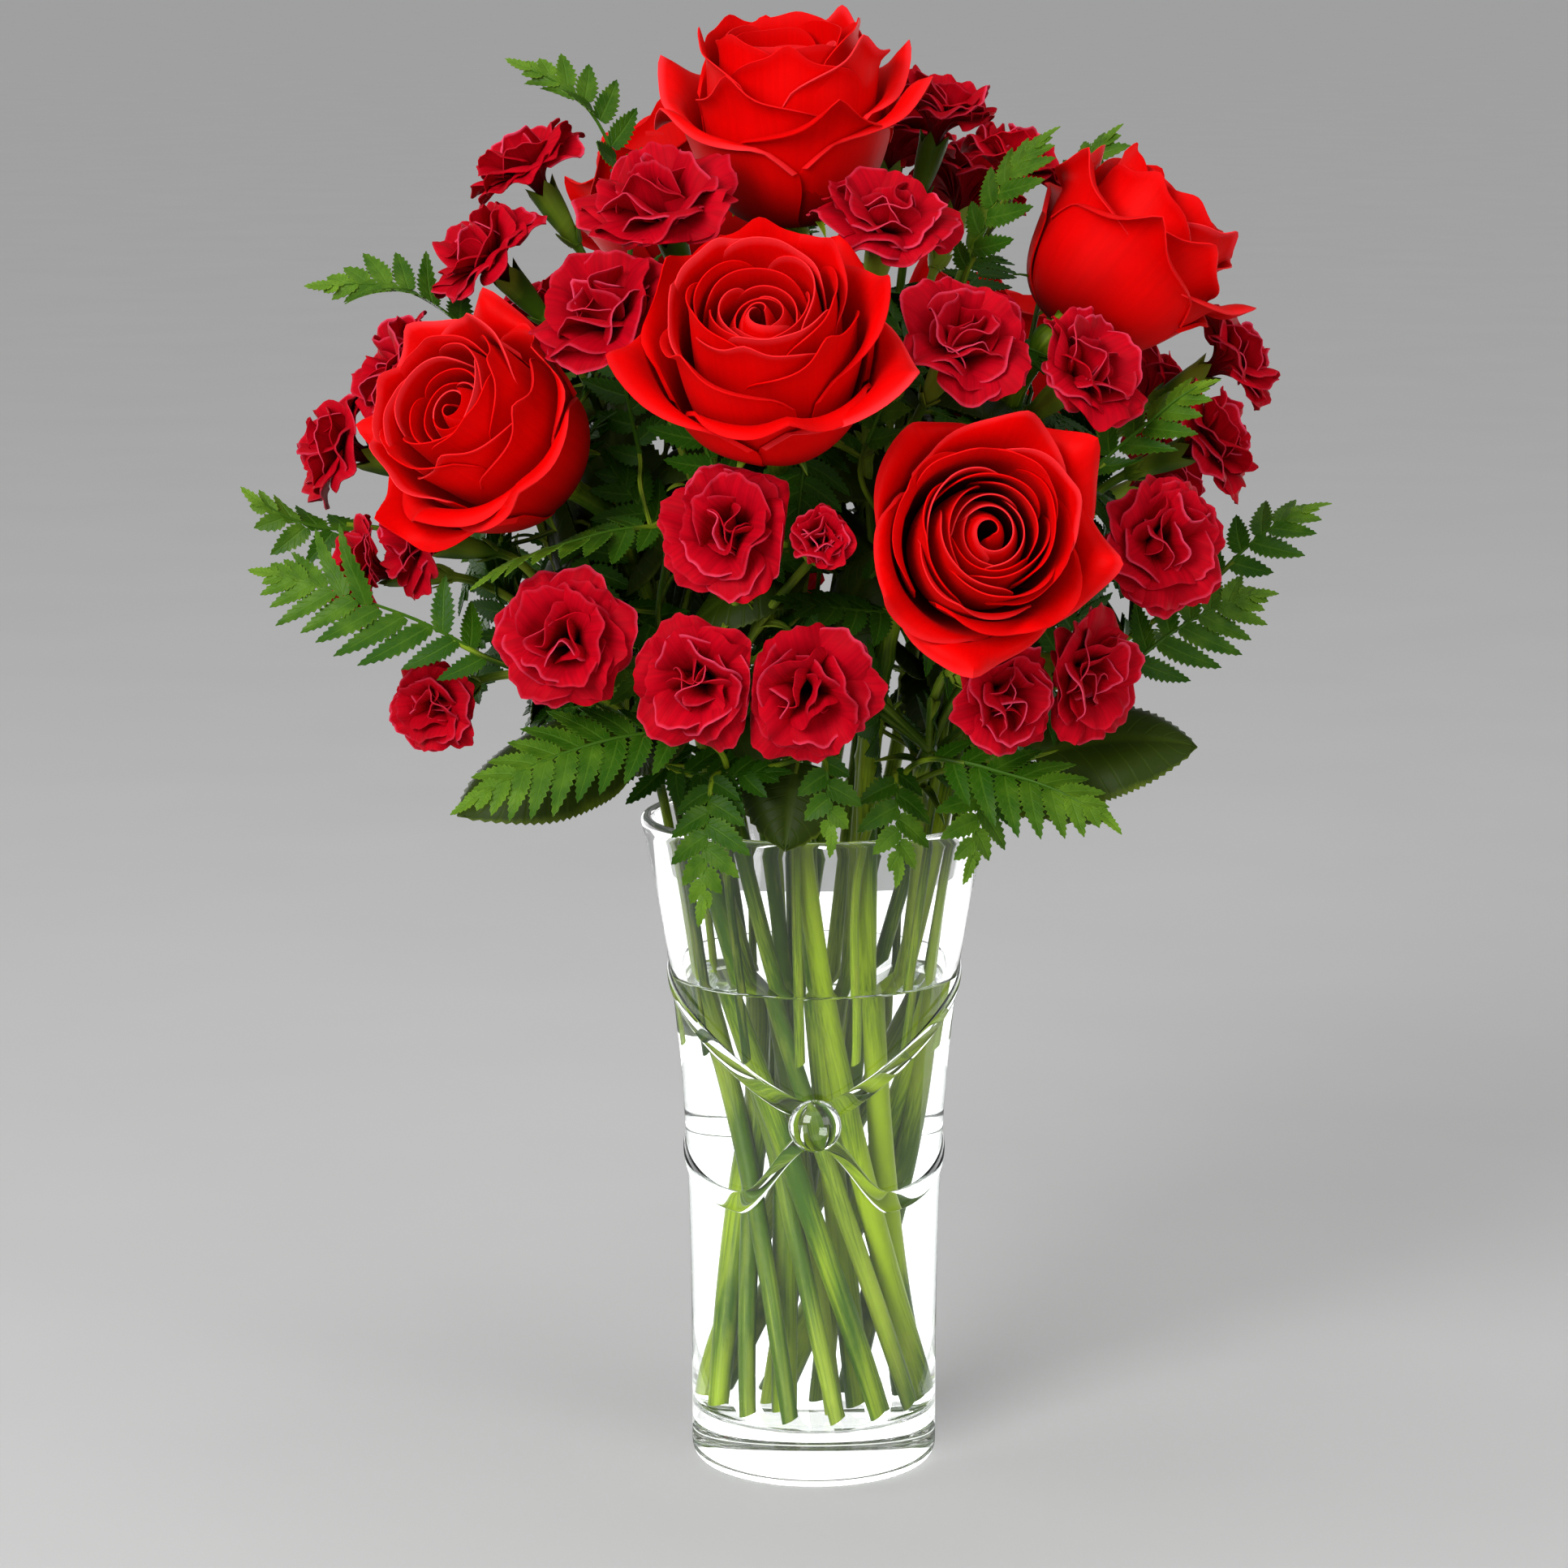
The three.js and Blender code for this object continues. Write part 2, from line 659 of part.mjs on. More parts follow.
// Gives a face its thickness: the underside repeats the same triangles, and a wall joins the edge.
function thicken(top, faces, edge, up) {
  balls.forEach((ball) => top.forEach((p) => pushOut(p, ball.c, ball.radius + BLADE.clear)));
  const under = top.map((p) => p.clone().addScaledVector(up, -BLADE.thickness));
  const n = top.length;
  const all = [...faces, ...faces.map(([a, b, c]) => [n + a, n + c, n + b])];
  edge.forEach((a, k) => {
    const b = edge[(k + 1) % edge.length];
    all.push([a, n + b, b], [a, n + a, n + b]);
  });
  return geometryOf([...top, ...under], all);
}

// Bends what would enter a ball out of it, and leaves what is far from it as it was.
function pushOut(p, centre, radius) {
  const off = p.clone().sub(centre);
  const distance = Math.max(off.length(), 0.1);
  if (distance > 3 * radius) return;
  const wanted = (distance ** BLADE.power + radius ** BLADE.power) ** (1 / BLADE.power);
  p.copy(centre).addScaledVector(off, wanted / distance);
}

// ---------------------------------------------------------------- the plants and their routes

let plantCount = 0;
const nextPlant = () => {
  plantCount += 1;
  return plantCount;
};

const roses = ROSES.map(({ at, radius, ring }, i) => {
  const centre = vec(at);
  const axis = facing(centre);
  const base = centre.clone().addScaledVector(axis, -ROSE.base * radius - GAP);
  const own = `rose${i}`;
  balls.push({ c: centre, radius: radius * BALL, own, head: own });
  return { ring, radius, centre, axis, base, own, leadsTo: base, plant: nextPlant() };
});

const sprays = SPRAYS.map((spray, s) => {
  const heads = spray.heads.map((head, h) =>
    head.map(([x, y, z, radius], b) => {
      const centre = new THREE.Vector3(x, y, z);
      const axis = facing(centre);
      const top = centre.clone().addScaledVector(axis, -CARNATION.base * radius - GAP);
      const base = top.clone().addScaledVector(axis, -CALYX.length);
      const own = `spray${s}-${h}-${b}`;
      balls.push({ c: centre, radius: radius * BALL, own, head: `spray${s}-${h}` });
      return { centre, axis, top, base, radius, own };
    }));
  const leadsTo = middleOf(heads.flat().map((bloom) => bloom.base));
  return { ring: spray.ring, heads, leadsTo, plant: nextPlant() };
});

function planLeafy(plan, blade, stem) {
  return plan.map((blades) => {
    const ends = blades.map(([from, to, width]) => ({ from: vec(from), to: vec(to), width }));
    const leadsTo = middleOf(ends.map((end) => end.from));
    return { ends, blade, stem, leadsTo, plant: nextPlant() };
  });
}
const fronds = planLeafy(FRONDS, FERN_BLADE, STEM.frond);
const leafStems = planLeafy(LEAF_STEMS, LEAF_BLADE, STEM.leaf);
const leafy = [...fronds, ...leafStems];

// Gives each plant its place at the mouth and its straight stem below it.
function stand(group, radius, along, footZ) {
  const mouths = places(group.map((one) => one.leadsTo), radius);
  group.forEach((one, i) => {
    one.mouth = mouths[i];
    one.foot = along(one.mouth, footZ);
    one.along = one.mouth.clone().sub(one.foot).normalize();
  });
}
const flowers = [...roses, ...sprays];
stand(flowers.filter((one) => one.ring === 'inner'), BUNDLE.innerRing, alongBundle, BUNDLE.footZ);
stand(flowers.filter((one) => one.ring === 'outer'), BUNDLE.outerRing, alongBundle, BUNDLE.footZ);
stand(leafy, COLLAR.mouthRadius, alongCollar, COLLAR.footZ);

roses.forEach((rose) => {
  const { mouth, axis, own, plant } = rose;
  const under = rose.base.clone().addScaledVector(axis, -HIP.length);
  const points = way(mouth, rose.along, under, axis, rose.base.distanceTo(mouth), CURVES.rose);
  rose.route = addChain(points, { plant, radii: points.map(() => STEM.rose), own });
  addChain([rose.foot, mouth], { plant, radii: [STEM.rose], own });
});

sprays.forEach((spray) => {
  const { mouth, plant } = spray;
  const reach = spray.leadsTo.distanceTo(mouth);
  const toward = spray.leadsTo.clone().sub(mouth).normalize();
  const fork = mouth.clone().addScaledVector(toward, reach * SPRAY_FORK);
  const points = way(mouth, spray.along, fork, toward, reach, CURVES.spray);
  spray.route = addChain(points, { plant, radii: points.map(() => STEM.spray), heldTail: 0 });
  spray.heads.flat().forEach((bloom) => {
    const left = fork.distanceTo(bloom.base);
    const branch = way(fork, toward, bloom.base, bloom.axis, left, CURVES.branch);
    bloom.route = addChain([...branch, bloom.top], {
      plant,
      radii: [STEM.branch, STEM.branch, CALYX.radius],
      startKnot: spray.route[spray.route.length - 1],
      heldTail: 2,
      own: bloom.own,
    });
  });
});

leafy.forEach((one) => {
  const { mouth, plant, stem } = one;
  const reach = one.leadsTo.distanceTo(mouth);
  const toward = one.leadsTo.clone().sub(mouth).normalize();
  const fork = mouth.clone().addScaledVector(toward, reach * LEAFY_FORK);
  fork.addScaledVector(UP, LEAFY_RISE);
  const points = way(mouth, one.along, fork, toward, reach, CURVES.leafy);
  one.route = addChain(points, { plant, radii: points.map(() => stem) });
  one.ends.forEach((end) => {
    const left = fork.distanceTo(end.from);
    const length = end.from.distanceTo(end.to);
    const outward = end.to.clone().sub(end.from).multiplyScalar(1 / left);
    const twig = way(fork, toward, end.from, outward, left, CURVES.petiole);
    const arch = middleOf([end.from, end.to]).addScaledVector(UP, length * BLADE.arch);
    end.route = addChain([...twig, arch, end.to], {
      plant,
      radii: [STEM.petiole, STEM.petiole + 1, ...BLADE.ribRadii],
      startKnot: one.route[one.route.length - 1],
      heldTail: 0,
    });
  });
});

bendClear();
const placesOf = (ids) => ids.map((id) => knots[id].p);

// ---------------------------------------------------------------- nodes

const LOOKS = {
  glass: { color: 0xe8efee, roughness: 0.05, transparent: true, opacity: 0.35 },
  water: { color: 0xdfeeee, roughness: 0.05, transparent: true, opacity: 0.4 },
  rose: { color: 0xc80404, roughness: 0.55 },
  carnation: { color: 0xa00428, roughness: 0.65 },
  roseStem: { color: 0x5d8a2a, roughness: 0.5 },
  sprayStem: { color: 0x7d9a4c, roughness: 0.5 },
  fern: { color: 0x3f7a22, roughness: 0.5 },
  leaf: { color: 0x2f4a14, roughness: 0.4 },
};

const group = new THREE.Group();

function addNode(name, geometry, look) {
  const flat = geometry.toNonIndexed();
  flat.computeVertexNormals();
  const material = new THREE.MeshStandardMaterial({ metalness: 0, ...LOOKS[look] });
  const mesh = new THREE.Mesh(mergeVertices(flat), material);
  mesh.name = name;
  group.add(mesh);
}

// A stem from the foot of its plant through the knots of its route.
function mainStem({ foot, route }, radius, sides) {
  const points = [foot, ...placesOf(route)];
  return bar(points, points.map(() => radius), sides);
}

function roseStem(rose) {
  const points = [rose.foot, ...placesOf(rose.route), rose.base];
  const hip = points.length - 2;
  return bar(points, points.map((_, k) => (k < hip ? STEM.rose : HIP.radius)), SIDES.rose);
}

// A branch that carries one carnation: thin, then a neck, then the long calyx.
function branch(bloom) {
  const points = placesOf(bloom.route);
  const radii = [STEM.spray * FORK_TAPER, STEM.branch, CALYX.neck, CALYX.radius];
  return bar(points, radii, SIDES.branch);
}

// The petiole ends inside the blade, part of the way to the arch of the rib.
function petioleAndBlade(one, end, seed) {
  const points = placesOf(end.route);
  const rib = points.slice(CURVES.petiole.steps);
  const inside = rib[0].clone().lerp(rib[1], 0.3);
  const twig = [...points.slice(0, CURVES.petiole.steps + 1), inside];
  const radii = twig.map((_, k) => (k === 0 ? one.stem * FORK_TAPER : STEM.petiole));
  return [bar(twig, radii, SIDES.petiole), bladeGeometry(rib, end.width, one.blade, seed)];
}

function leafyGeometry(one, index) {
  const blades = one.ends.flatMap((end, e) => petioleAndBlade(one, end, index * 10 + e));
  return fuse([mainStem(one, one.stem, SIDES.leafy), ...blades]);
}

addNode('vase', vaseGeometry(), 'glass');
addNode('water', waterGeometry([
  ...roses.map((one) => ({ ...one, radius: STEM.rose, sides: SIDES.rose })),
  ...sprays.map((one) => ({ ...one, radius: STEM.spray, sides: SIDES.spray })),
  ...leafy.map((one) => ({ ...one, radius: one.stem, sides: SIDES.leafy })),
]), 'water');

roses.forEach((rose, i) => {
  addNode(`rose_bloom_${i + 1}`, bloomGeometry(rose, ROSE, i + 1, rose.own), 'rose');
  addNode(`rose_stem_${i + 1}`, roseStem(rose), 'roseStem');
});

let headCount = 0;
sprays.forEach((spray, s) => {
  spray.heads.forEach((head, h) => {
    headCount += 1;
    const seed = headCount * 10;
    const blooms = head.map((bloom, b) => bloomGeometry(bloom, CARNATION, seed + b, `spray${s}-${h}`));
    addNode(`carnation_bloom_${String(headCount).padStart(2, '0')}`, fuse(blooms), 'carnation');
  });
  const stems = [mainStem(spray, STEM.spray, SIDES.spray), ...spray.heads.flat().map(branch)];
  addNode(`carnation_stem_${String(s + 1).padStart(2, '0')}`, fuse(stems), 'sprayStem');
});

fronds.forEach((one, i) => addNode(`fern_frond_${i + 1}`, leafyGeometry(one, i), 'fern'));
leafStems.forEach((one, i) => {
  addNode(`leaf_stem_${i + 1}`, leafyGeometry(one, fronds.length + i), 'leaf');
});

export default group;
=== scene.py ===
import math

import bpy
import numpy as np
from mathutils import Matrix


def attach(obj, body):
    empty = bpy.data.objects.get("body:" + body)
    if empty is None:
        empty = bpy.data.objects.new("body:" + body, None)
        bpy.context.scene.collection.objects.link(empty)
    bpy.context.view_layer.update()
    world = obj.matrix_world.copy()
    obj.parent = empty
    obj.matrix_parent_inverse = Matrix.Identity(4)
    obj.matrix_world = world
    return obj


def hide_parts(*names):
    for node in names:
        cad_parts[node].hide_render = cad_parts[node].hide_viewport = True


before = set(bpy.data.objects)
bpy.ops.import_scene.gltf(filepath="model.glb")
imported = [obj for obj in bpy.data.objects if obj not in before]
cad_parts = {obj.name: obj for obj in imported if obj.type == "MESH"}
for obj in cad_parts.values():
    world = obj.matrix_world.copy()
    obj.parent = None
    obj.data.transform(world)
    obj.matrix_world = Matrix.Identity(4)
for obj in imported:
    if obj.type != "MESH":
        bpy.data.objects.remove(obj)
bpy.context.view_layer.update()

# ---------------------------------------------------------------- the vase
# One piece of clear pressed glass with a heavy base and a flared, rounded rim. Two raised ribbons
# leave a clear round boss on the front, one above the other, and each closes round the back. It is
# pressed in one mould and polished by fire, so that every edge is a little round.

MM = 0.001
HEIGHT = 228
FOOT_RADIUS = 36  # the ring that it stands on
FOOT_ROUND = 7  # height of the rounding above the foot
KICK = 1.6  # hollow of the underside
BASE_RADIUS, FLARE, FLARE_POWER = 42.3, 17.5, 3.2
WALL = 4
LIP = 2  # rounding of the rim
FLOOR, FLOOR_ROUND = 19, 5  # inside: thickness of the base and its rounded corner
RIBBON_WIDTH, RIBBON_PROUD = 7.5, 1.1
RIBBON_START = 4  # from the middle of the boss to that of a ribbon, at the front
UPPER_RISE, UPPER_SPAN = 41, 1.9  # how far a ribbon climbs or dips, and over how many radians
LOWER_DIP, DIP_SPAN, LOWER_RISE, RISE_SPAN = 25, 0.62, 14, 1.4
BOSS_HEIGHT, BOSS_RADIUS, BOSS_DEPTH, BOSS_OUT = 129, 9, 7, 0.6
VASE_SIDES = 176  # flats of the mesh, once round


def smooth(t):
    """Eases from 0 to 1."""
    t = np.clip(t, 0, 1)
    return t * t * (3 - 2 * t)


def outer_radius(z):
    return BASE_RADIUS + FLARE * (np.maximum(z, 0) / HEIGHT) ** FLARE_POWER


def inner_radius(z):
    return outer_radius(z) - WALL


def upper_ribbon(angle):
    """Height of the upper ribbon's middle at an angle from the front."""
    rise = smooth(np.clip(np.abs(angle) / UPPER_SPAN, 0, 1) ** 0.8)
    return BOSS_HEIGHT + RIBBON_START + UPPER_RISE * rise


def lower_ribbon(angle):
    dip = smooth(np.abs(angle) / DIP_SPAN)
    rise = smooth((np.abs(angle) - DIP_SPAN) / RISE_SPAN)
    return BOSS_HEIGHT - RIBBON_START - LOWER_DIP * dip + LOWER_RISE * rise


def wall_rows(angles):
    """Radius and height of every ring, from the middle of the underside to that of the floor."""
    rows = [(r, KICK * (1 - (r / FOOT_RADIUS) ** 4)) for r in np.linspace(6, 30, 5)]
    reach = outer_radius(FOOT_ROUND) - FOOT_RADIUS
    rows += [(FOOT_RADIUS + reach * math.sin(a), FOOT_ROUND * (1 - math.cos(a)))
             for a in np.linspace(0, math.pi / 2, 9)]
    below = FOOT_ROUND
    for ribbon, steps in ((lower_ribbon(angles), 26), (upper_ribbon(angles), 12)):
        start = ribbon - RIBBON_WIDTH / 2
        for t in np.linspace(0, 1, steps)[1:-1]:
            z = below + (start - below) * t
            rows.append((outer_radius(z), z))
        for a in np.linspace(-1, 1, 13):
            z = ribbon + RIBBON_WIDTH / 2 * math.sin(a * math.pi / 2)
            rows.append((outer_radius(z) + RIBBON_PROUD * math.cos(a * math.pi / 2), z))
        below = ribbon + RIBBON_WIDTH / 2
    for t in np.linspace(0, 1, 26)[1:-1]:
        z = below + (HEIGHT - LIP - below) * t
        rows.append((outer_radius(z), z))
    rows += [(outer_radius(HEIGHT - LIP) - LIP * (1 - math.cos(a)), HEIGHT - LIP + LIP * math.sin(a))
             for a in np.linspace(0, math.pi, 11)]
    rows += [(inner_radius(z), z) for z in np.linspace(HEIGHT - LIP, FLOOR + FLOOR_ROUND, 48)[1:]]
    corner = inner_radius(FLOOR + FLOOR_ROUND) - FLOOR_ROUND
    rows += [(corner + FLOOR_ROUND * math.cos(a), FLOOR + FLOOR_ROUND * (1 - math.sin(a)))
             for a in np.linspace(0, math.pi / 2, 8)[1:]]
    return rows + [(r, FLOOR) for r in np.linspace(corner, 5, 6)[1:]]


def even_turn(sides):
    """Even angles once round."""
    return np.linspace(0, 2 * math.pi, sides, endpoint=False)


def closed_body(rings, first, last):
    """Points and faces of a closed body from rings, with a point before them and one past them."""
    count, sides = len(rings), len(rings[0])
    ring = np.arange(sides)
    after = (ring + 1) % sides
    points = np.concatenate([[first], *rings, [last]])
    low = 1 + sides * np.arange(count - 1)[:, None]
    quads = np.stack([low + ring, low + after, low + sides + after, low + sides + ring], axis=2)
    top = 1 + (count - 1) * sides
    return points, [np.stack([0 * ring, 1 + after, 1 + ring], axis=1), quads.reshape(-1, 4),
                    np.stack([0 * ring + len(points) - 1, top + ring, top + after], axis=1)]


def turned(rows, angles, bottom, top):
    """A body turned on an upright axis, from the radius and height of each ring."""
    rings = [np.stack([r * np.sin(angles), -r * np.cos(angles), z + 0 * angles], axis=1) for r, z in rows]
    return closed_body(rings, [0, 0, bottom], [0, 0, top])


def mesh_of(name, points, faces, sharp=40, **values):
    """A smooth-shaded mesh with its sharp edges kept and one number for each point a value."""
    mesh = bpy.data.meshes.new(name)
    mesh.from_pydata((np.asarray(points) * MM).tolist(), [], [f for part in faces for f in part.tolist()])
    mesh.shade_smooth()
    mesh.set_sharp_from_angle(angle=math.radians(sharp))
    for key, numbers in values.items():
        mesh.attributes.new(key, "FLOAT", "POINT").data.foreach_set("value", np.float32(numbers))
    return mesh


def add_piece(name, mesh, material, node):
    """Puts a mesh in the scene in place of the plain node that it stands for."""
    piece = bpy.data.objects.new(name, mesh)
    bpy.context.scene.collection.objects.link(piece)
    mesh.materials.append(material)
    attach(piece, "root")
    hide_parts(node)


def srgb(red, green, blue):
    """A colour as a screen shows it, from 0 to 255, for a colour socket."""
    shares = [c / 255 for c in (red, green, blue)]
    return (*(s / 12.92 if s <= 0.04045 else ((s + 0.055) / 1.055) ** 2.4 for s in shares), 1)


class Shades:
    """The nodes of one shader tree. A value may be a number, a colour or another node's socket."""

    def __init__(self, tree):
        self.tree = tree

    def set(self, sockets, values):
        """Gives sockets, told by name or place, their values or links."""
        for key, value in values.items():
            if isinstance(value, bpy.types.NodeSocket):
                self.tree.links.new(value, sockets[key])
            else:
                sockets[key].default_value = value

    def node(self, kind, values=None, **settings):
        node = self.tree.nodes.new("ShaderNode" + kind)
        for key, setting in settings.items():
            setattr(node, key, setting)
        self.set(node.inputs, values or {})
        return node

    def spot(self):
        """Where a point of the surface is on the object."""
        return self.node("TexCoord").outputs["Object"]

    def grown(self, name):
        """A number that every point of the mesh was given."""
        return self.node("Attribute", attribute_name=name).outputs["Fac"]

    def noise(self, spot, scale, stretch=(1, 1, 1), detail=3):
        place = self.node("Mapping", {"Vector": spot, "Scale": stretch}).outputs["Vector"]
        return self.node("TexNoise", {"Vector": place, "Scale": scale, "Detail": detail}).outputs["Fac"]

    def mix(self, share, low, high):
        """A colour between two others."""
        return self.node("Mix", {0: share, 6: low, 7: high}, data_type="RGBA").outputs[2]

    def maths(self, operation, one, other=0.0):
        return self.node("Math", {0: one, 1: other}, operation=operation).outputs[0]

    def add(self, one, other):
        return self.maths("ADD", one, other)

    def times(self, one, other):
        return self.maths("MULTIPLY", one, other)

    def ramp(self, value, low, high, to_low=0.0, to_high=1.0):
        """A value between two limits, spread smoothly over another range."""
        values = dict(enumerate((value, low, high, to_low, to_high)))
        return self.node("MapRange", values, interpolation_type="SMOOTHSTEP").outputs[0]


def new_material(name, values):
    """A material with the values of its Principled shader."""
    material = bpy.data.materials.new(name)
    material.use_nodes = True
    shades = Shades(material.node_tree)
    surface = material.node_tree.nodes["Principled BSDF"]
    shades.set(surface.inputs, values)
    return material, shades, surface


def clear_material(name, tint, ior):
    """Clear and polished: light from the lamps goes straight through to what is inside."""
    material, shades, surface = new_material(
        name, {"Base Color": tint, "Roughness": 0, "Transmission Weight": 1, "IOR": ior})
    shadow_ray = shades.node("LightPath").outputs["Is Shadow Ray"]
    through = shades.node("BsdfTransparent", {"Color": (0.97, 0.97, 0.97, 1)}).outputs[0]
    both = shades.node("MixShader", {0: shadow_ray, 1: surface.outputs[0], 2: through}).outputs[0]
    shades.set(material.node_tree.nodes["Material Output"].inputs, {"Surface": both})
    return material


def boss_mesh():
    """The boss is a flattened ball that stands half out of the wall."""
    polar = np.linspace(0, math.pi, 37)[1:-1]
    rows = [(BOSS_RADIUS * math.sin(p), -BOSS_DEPTH * math.cos(p)) for p in polar]
    points, faces = turned(rows, even_turn(72), -BOSS_DEPTH, BOSS_DEPTH)
    middle = [0, -outer_radius(BOSS_HEIGHT) - BOSS_OUT, BOSS_HEIGHT]
    return mesh_of("boss", points @ np.array([[1, 0, 0], [0, 0, 1], [0, -1, 0]]) + middle, faces)


def joined_mesh(one, other):
    """Both bodies as one: the wall between them is taken out."""
    pair = [bpy.data.objects.new("half", mesh) for mesh in (one, other)]
    for half in pair:
        bpy.context.scene.collection.objects.link(half)
    join = pair[0].modifiers.new("join", "BOOLEAN")
    join.operation, join.solver, join.object = "UNION", "EXACT", pair[1]
    graph = bpy.context.evaluated_depsgraph_get()
    mesh = bpy.data.meshes.new_from_object(pair[0].evaluated_get(graph))
    for half in pair:
        bpy.data.objects.remove(half)
    mesh.set_sharp_from_angle(angle=math.radians(40))
    return mesh


turn = even_turn(VASE_SIDES)
from_front = np.where(turn > math.pi, turn - 2 * math.pi, turn)
wall_mesh = mesh_of("wall", *turned(wall_rows(from_front), turn, KICK, FLOOR))
glass = clear_material("clear_glass", (0.985, 0.995, 0.992, 1), 1.5)
add_piece("glass_vase", joined_mesh(wall_mesh, boss_mesh()), glass, "vase")

# ---------------------------------------------------------------- the water
# Clear water fills three quarters of the vase, round the stems. It wets the glass, so it meets
# the wall without a gap and climbs it a little at the surface.

WATER_TOP = 172
WETTING = 0.12  # how far it reaches into the glass, so that no air shows between them
CREEP, CREEP_WIDTH = 1.6, 1.4  # how high the edge of the surface climbs, and how wide the curve is


def water_rows():
    corner = inner_radius(FLOOR + FLOOR_ROUND) - FLOOR_ROUND
    rows = [(r, FLOOR - WETTING) for r in np.linspace(6, corner, 6)]
    rows += [(corner + (FLOOR_ROUND + WETTING) * math.cos(a),
              FLOOR + FLOOR_ROUND - (FLOOR_ROUND + WETTING) * math.sin(a))
             for a in np.linspace(math.pi / 2, 0, 8)[1:]]
    rows += [(inner_radius(z) + WETTING, z)
             for z in np.linspace(FLOOR + FLOOR_ROUND, WATER_TOP + CREEP, 40)[1:]]
    edge = inner_radius(WATER_TOP + CREEP)
    return rows + [(edge - inward, WATER_TOP + CREEP * math.exp(-inward / CREEP_WIDTH))
                   for inward in (0.3, 0.8, 1.5, 2.5, 4, 6, 12, 24)]


water_mesh = mesh_of("water", *turned(water_rows(), turn, FLOOR - WETTING, WATER_TOP))
water = clear_material("clear_water", (0.985, 0.995, 0.99, 1), 1.33)
add_piece("vase_water", water_mesh, water, "water")

# ---------------------------------------------------------------- the arrangement
# The florist sets straight stems in a twisted bundle, all turned the same way, and the foliage in
# a wide collar round it. Above the rim every stem bends to its bloom, and gives way where another
# stem or bloom is in its path. A place is a bloom's middle, or the base or tip of a blade.

FOCUS = np.array([-5.0, 0, 300])  # blooms face away from this point
FOOT_Z, WAIST_Z, MOUTH_Z, TWIST = 20.5, 95, 232, -0.015  # the twist is in radians a millimetre
RING_RADIUS = {"inner": 18, "outer": 44}
COLLAR_FOOT_Z, COLLAR_FOOT, COLLAR_MOUTH = 148, 37, 51.5
ROSE_STEM, SPRAY_STEM, BRANCH, FROND_STEM, LEAF_STEM, PETIOLE = 3.5, 2.7, 1.5, 1.5, 1.7, 1.1
CALYX_LENGTH, CALYX_RADIUS, CALYX_NECK = 20, 4.6, 2.3
HIP_LENGTH, HIP_RADIUS = 9, 6.5
ROSE_DEPTH, CARNATION_DEPTH = 0.86, 0.62  # of a bloom below its middle, as a share of its radius
ROSE_PULL, SPRAY_PULL = 0.7, 0.4  # how strongly a stem keeps its first and its last direction
BRANCH_PULLS, LEAFY_PULLS, PETIOLE_PULLS = (0.6, 0.9), (0.5, 0.4), (0.6, 0.6)
SPRAY_FORK, LEAFY_FORK, LEAFY_RISE = 0.45, 0.4, 4  # shares of the way, and a height above it
ARCH = 0.08  # how high the middle of a blade stands, as a share of its length
GAP = 0.3  # left between a bloom and its stem or its neighbours
UP = np.array([0.0, 0, 1])

ROSES = [  # x, y, z and radius of each bloom, and the ring that its stem stands in
    (-9, -36, 464, 40, "inner"),
    (-16, -126, 394, 41, "outer"),
    (-105, -91, 367, 38, "outer"),
    (51, -122, 336, 37, "outer"),
    (101, -45, 420, 37, "outer"),
    (-46, 64, 430, 37, "inner"),
    (60, 94, 366, 37, "outer"),
]
SPRAYS = [  # the ring, and the blooms of each head: x, y, z and radius
    ("outer", [[(-97, -16, 451, 22), (-110, -36, 423, 23)]]),
    ("inner", [[(-51, -84, 442, 28), (-68, -101, 408, 27)]]),
    ("inner", [[(23, -83, 437, 24)], [(47, -106, 399, 25)]]),
    ("inner", [[(43, -3, 468, 22), (67, -13, 451, 22)], [(28, 52, 457, 24), (54, 64, 439, 23)]]),
    ("outer", [[(88, -89, 388, 23)], [(141, -16, 386, 21), (134, -34, 360, 22)]]),
    ("outer", [[(-140, -40, 384, 22), (-161, -26, 357, 22)],
               [(-133, -70, 331, 20), (-150, -58, 319, 20)]]),
    ("outer", [[(-28, -131, 341, 24), (1, -133, 338, 15)], [(-80, -115, 304, 24)],
               [(-125, -74, 276, 17)]]),
    ("outer", [[(-38, -124, 291, 23), (-3, -125, 288, 24)], [(89, -96, 289, 23), (62, -108, 284, 21)],
               [(113, -82, 331, 24)]]),
    ("outer", [[(-100, 52, 390, 24), (-104, 76, 360, 25)], [(-46, 113, 316, 24), (-18, 118, 293, 23)]]),
    ("outer", [[(0, 108, 388, 24), (-4, 121, 356, 24)], [(122, 46, 366, 23), (122, 62, 334, 23)],
               [(66, 112, 294, 24)]]),
]
BUD = (1, -133, 338, 15)  # the one bloom that is half open
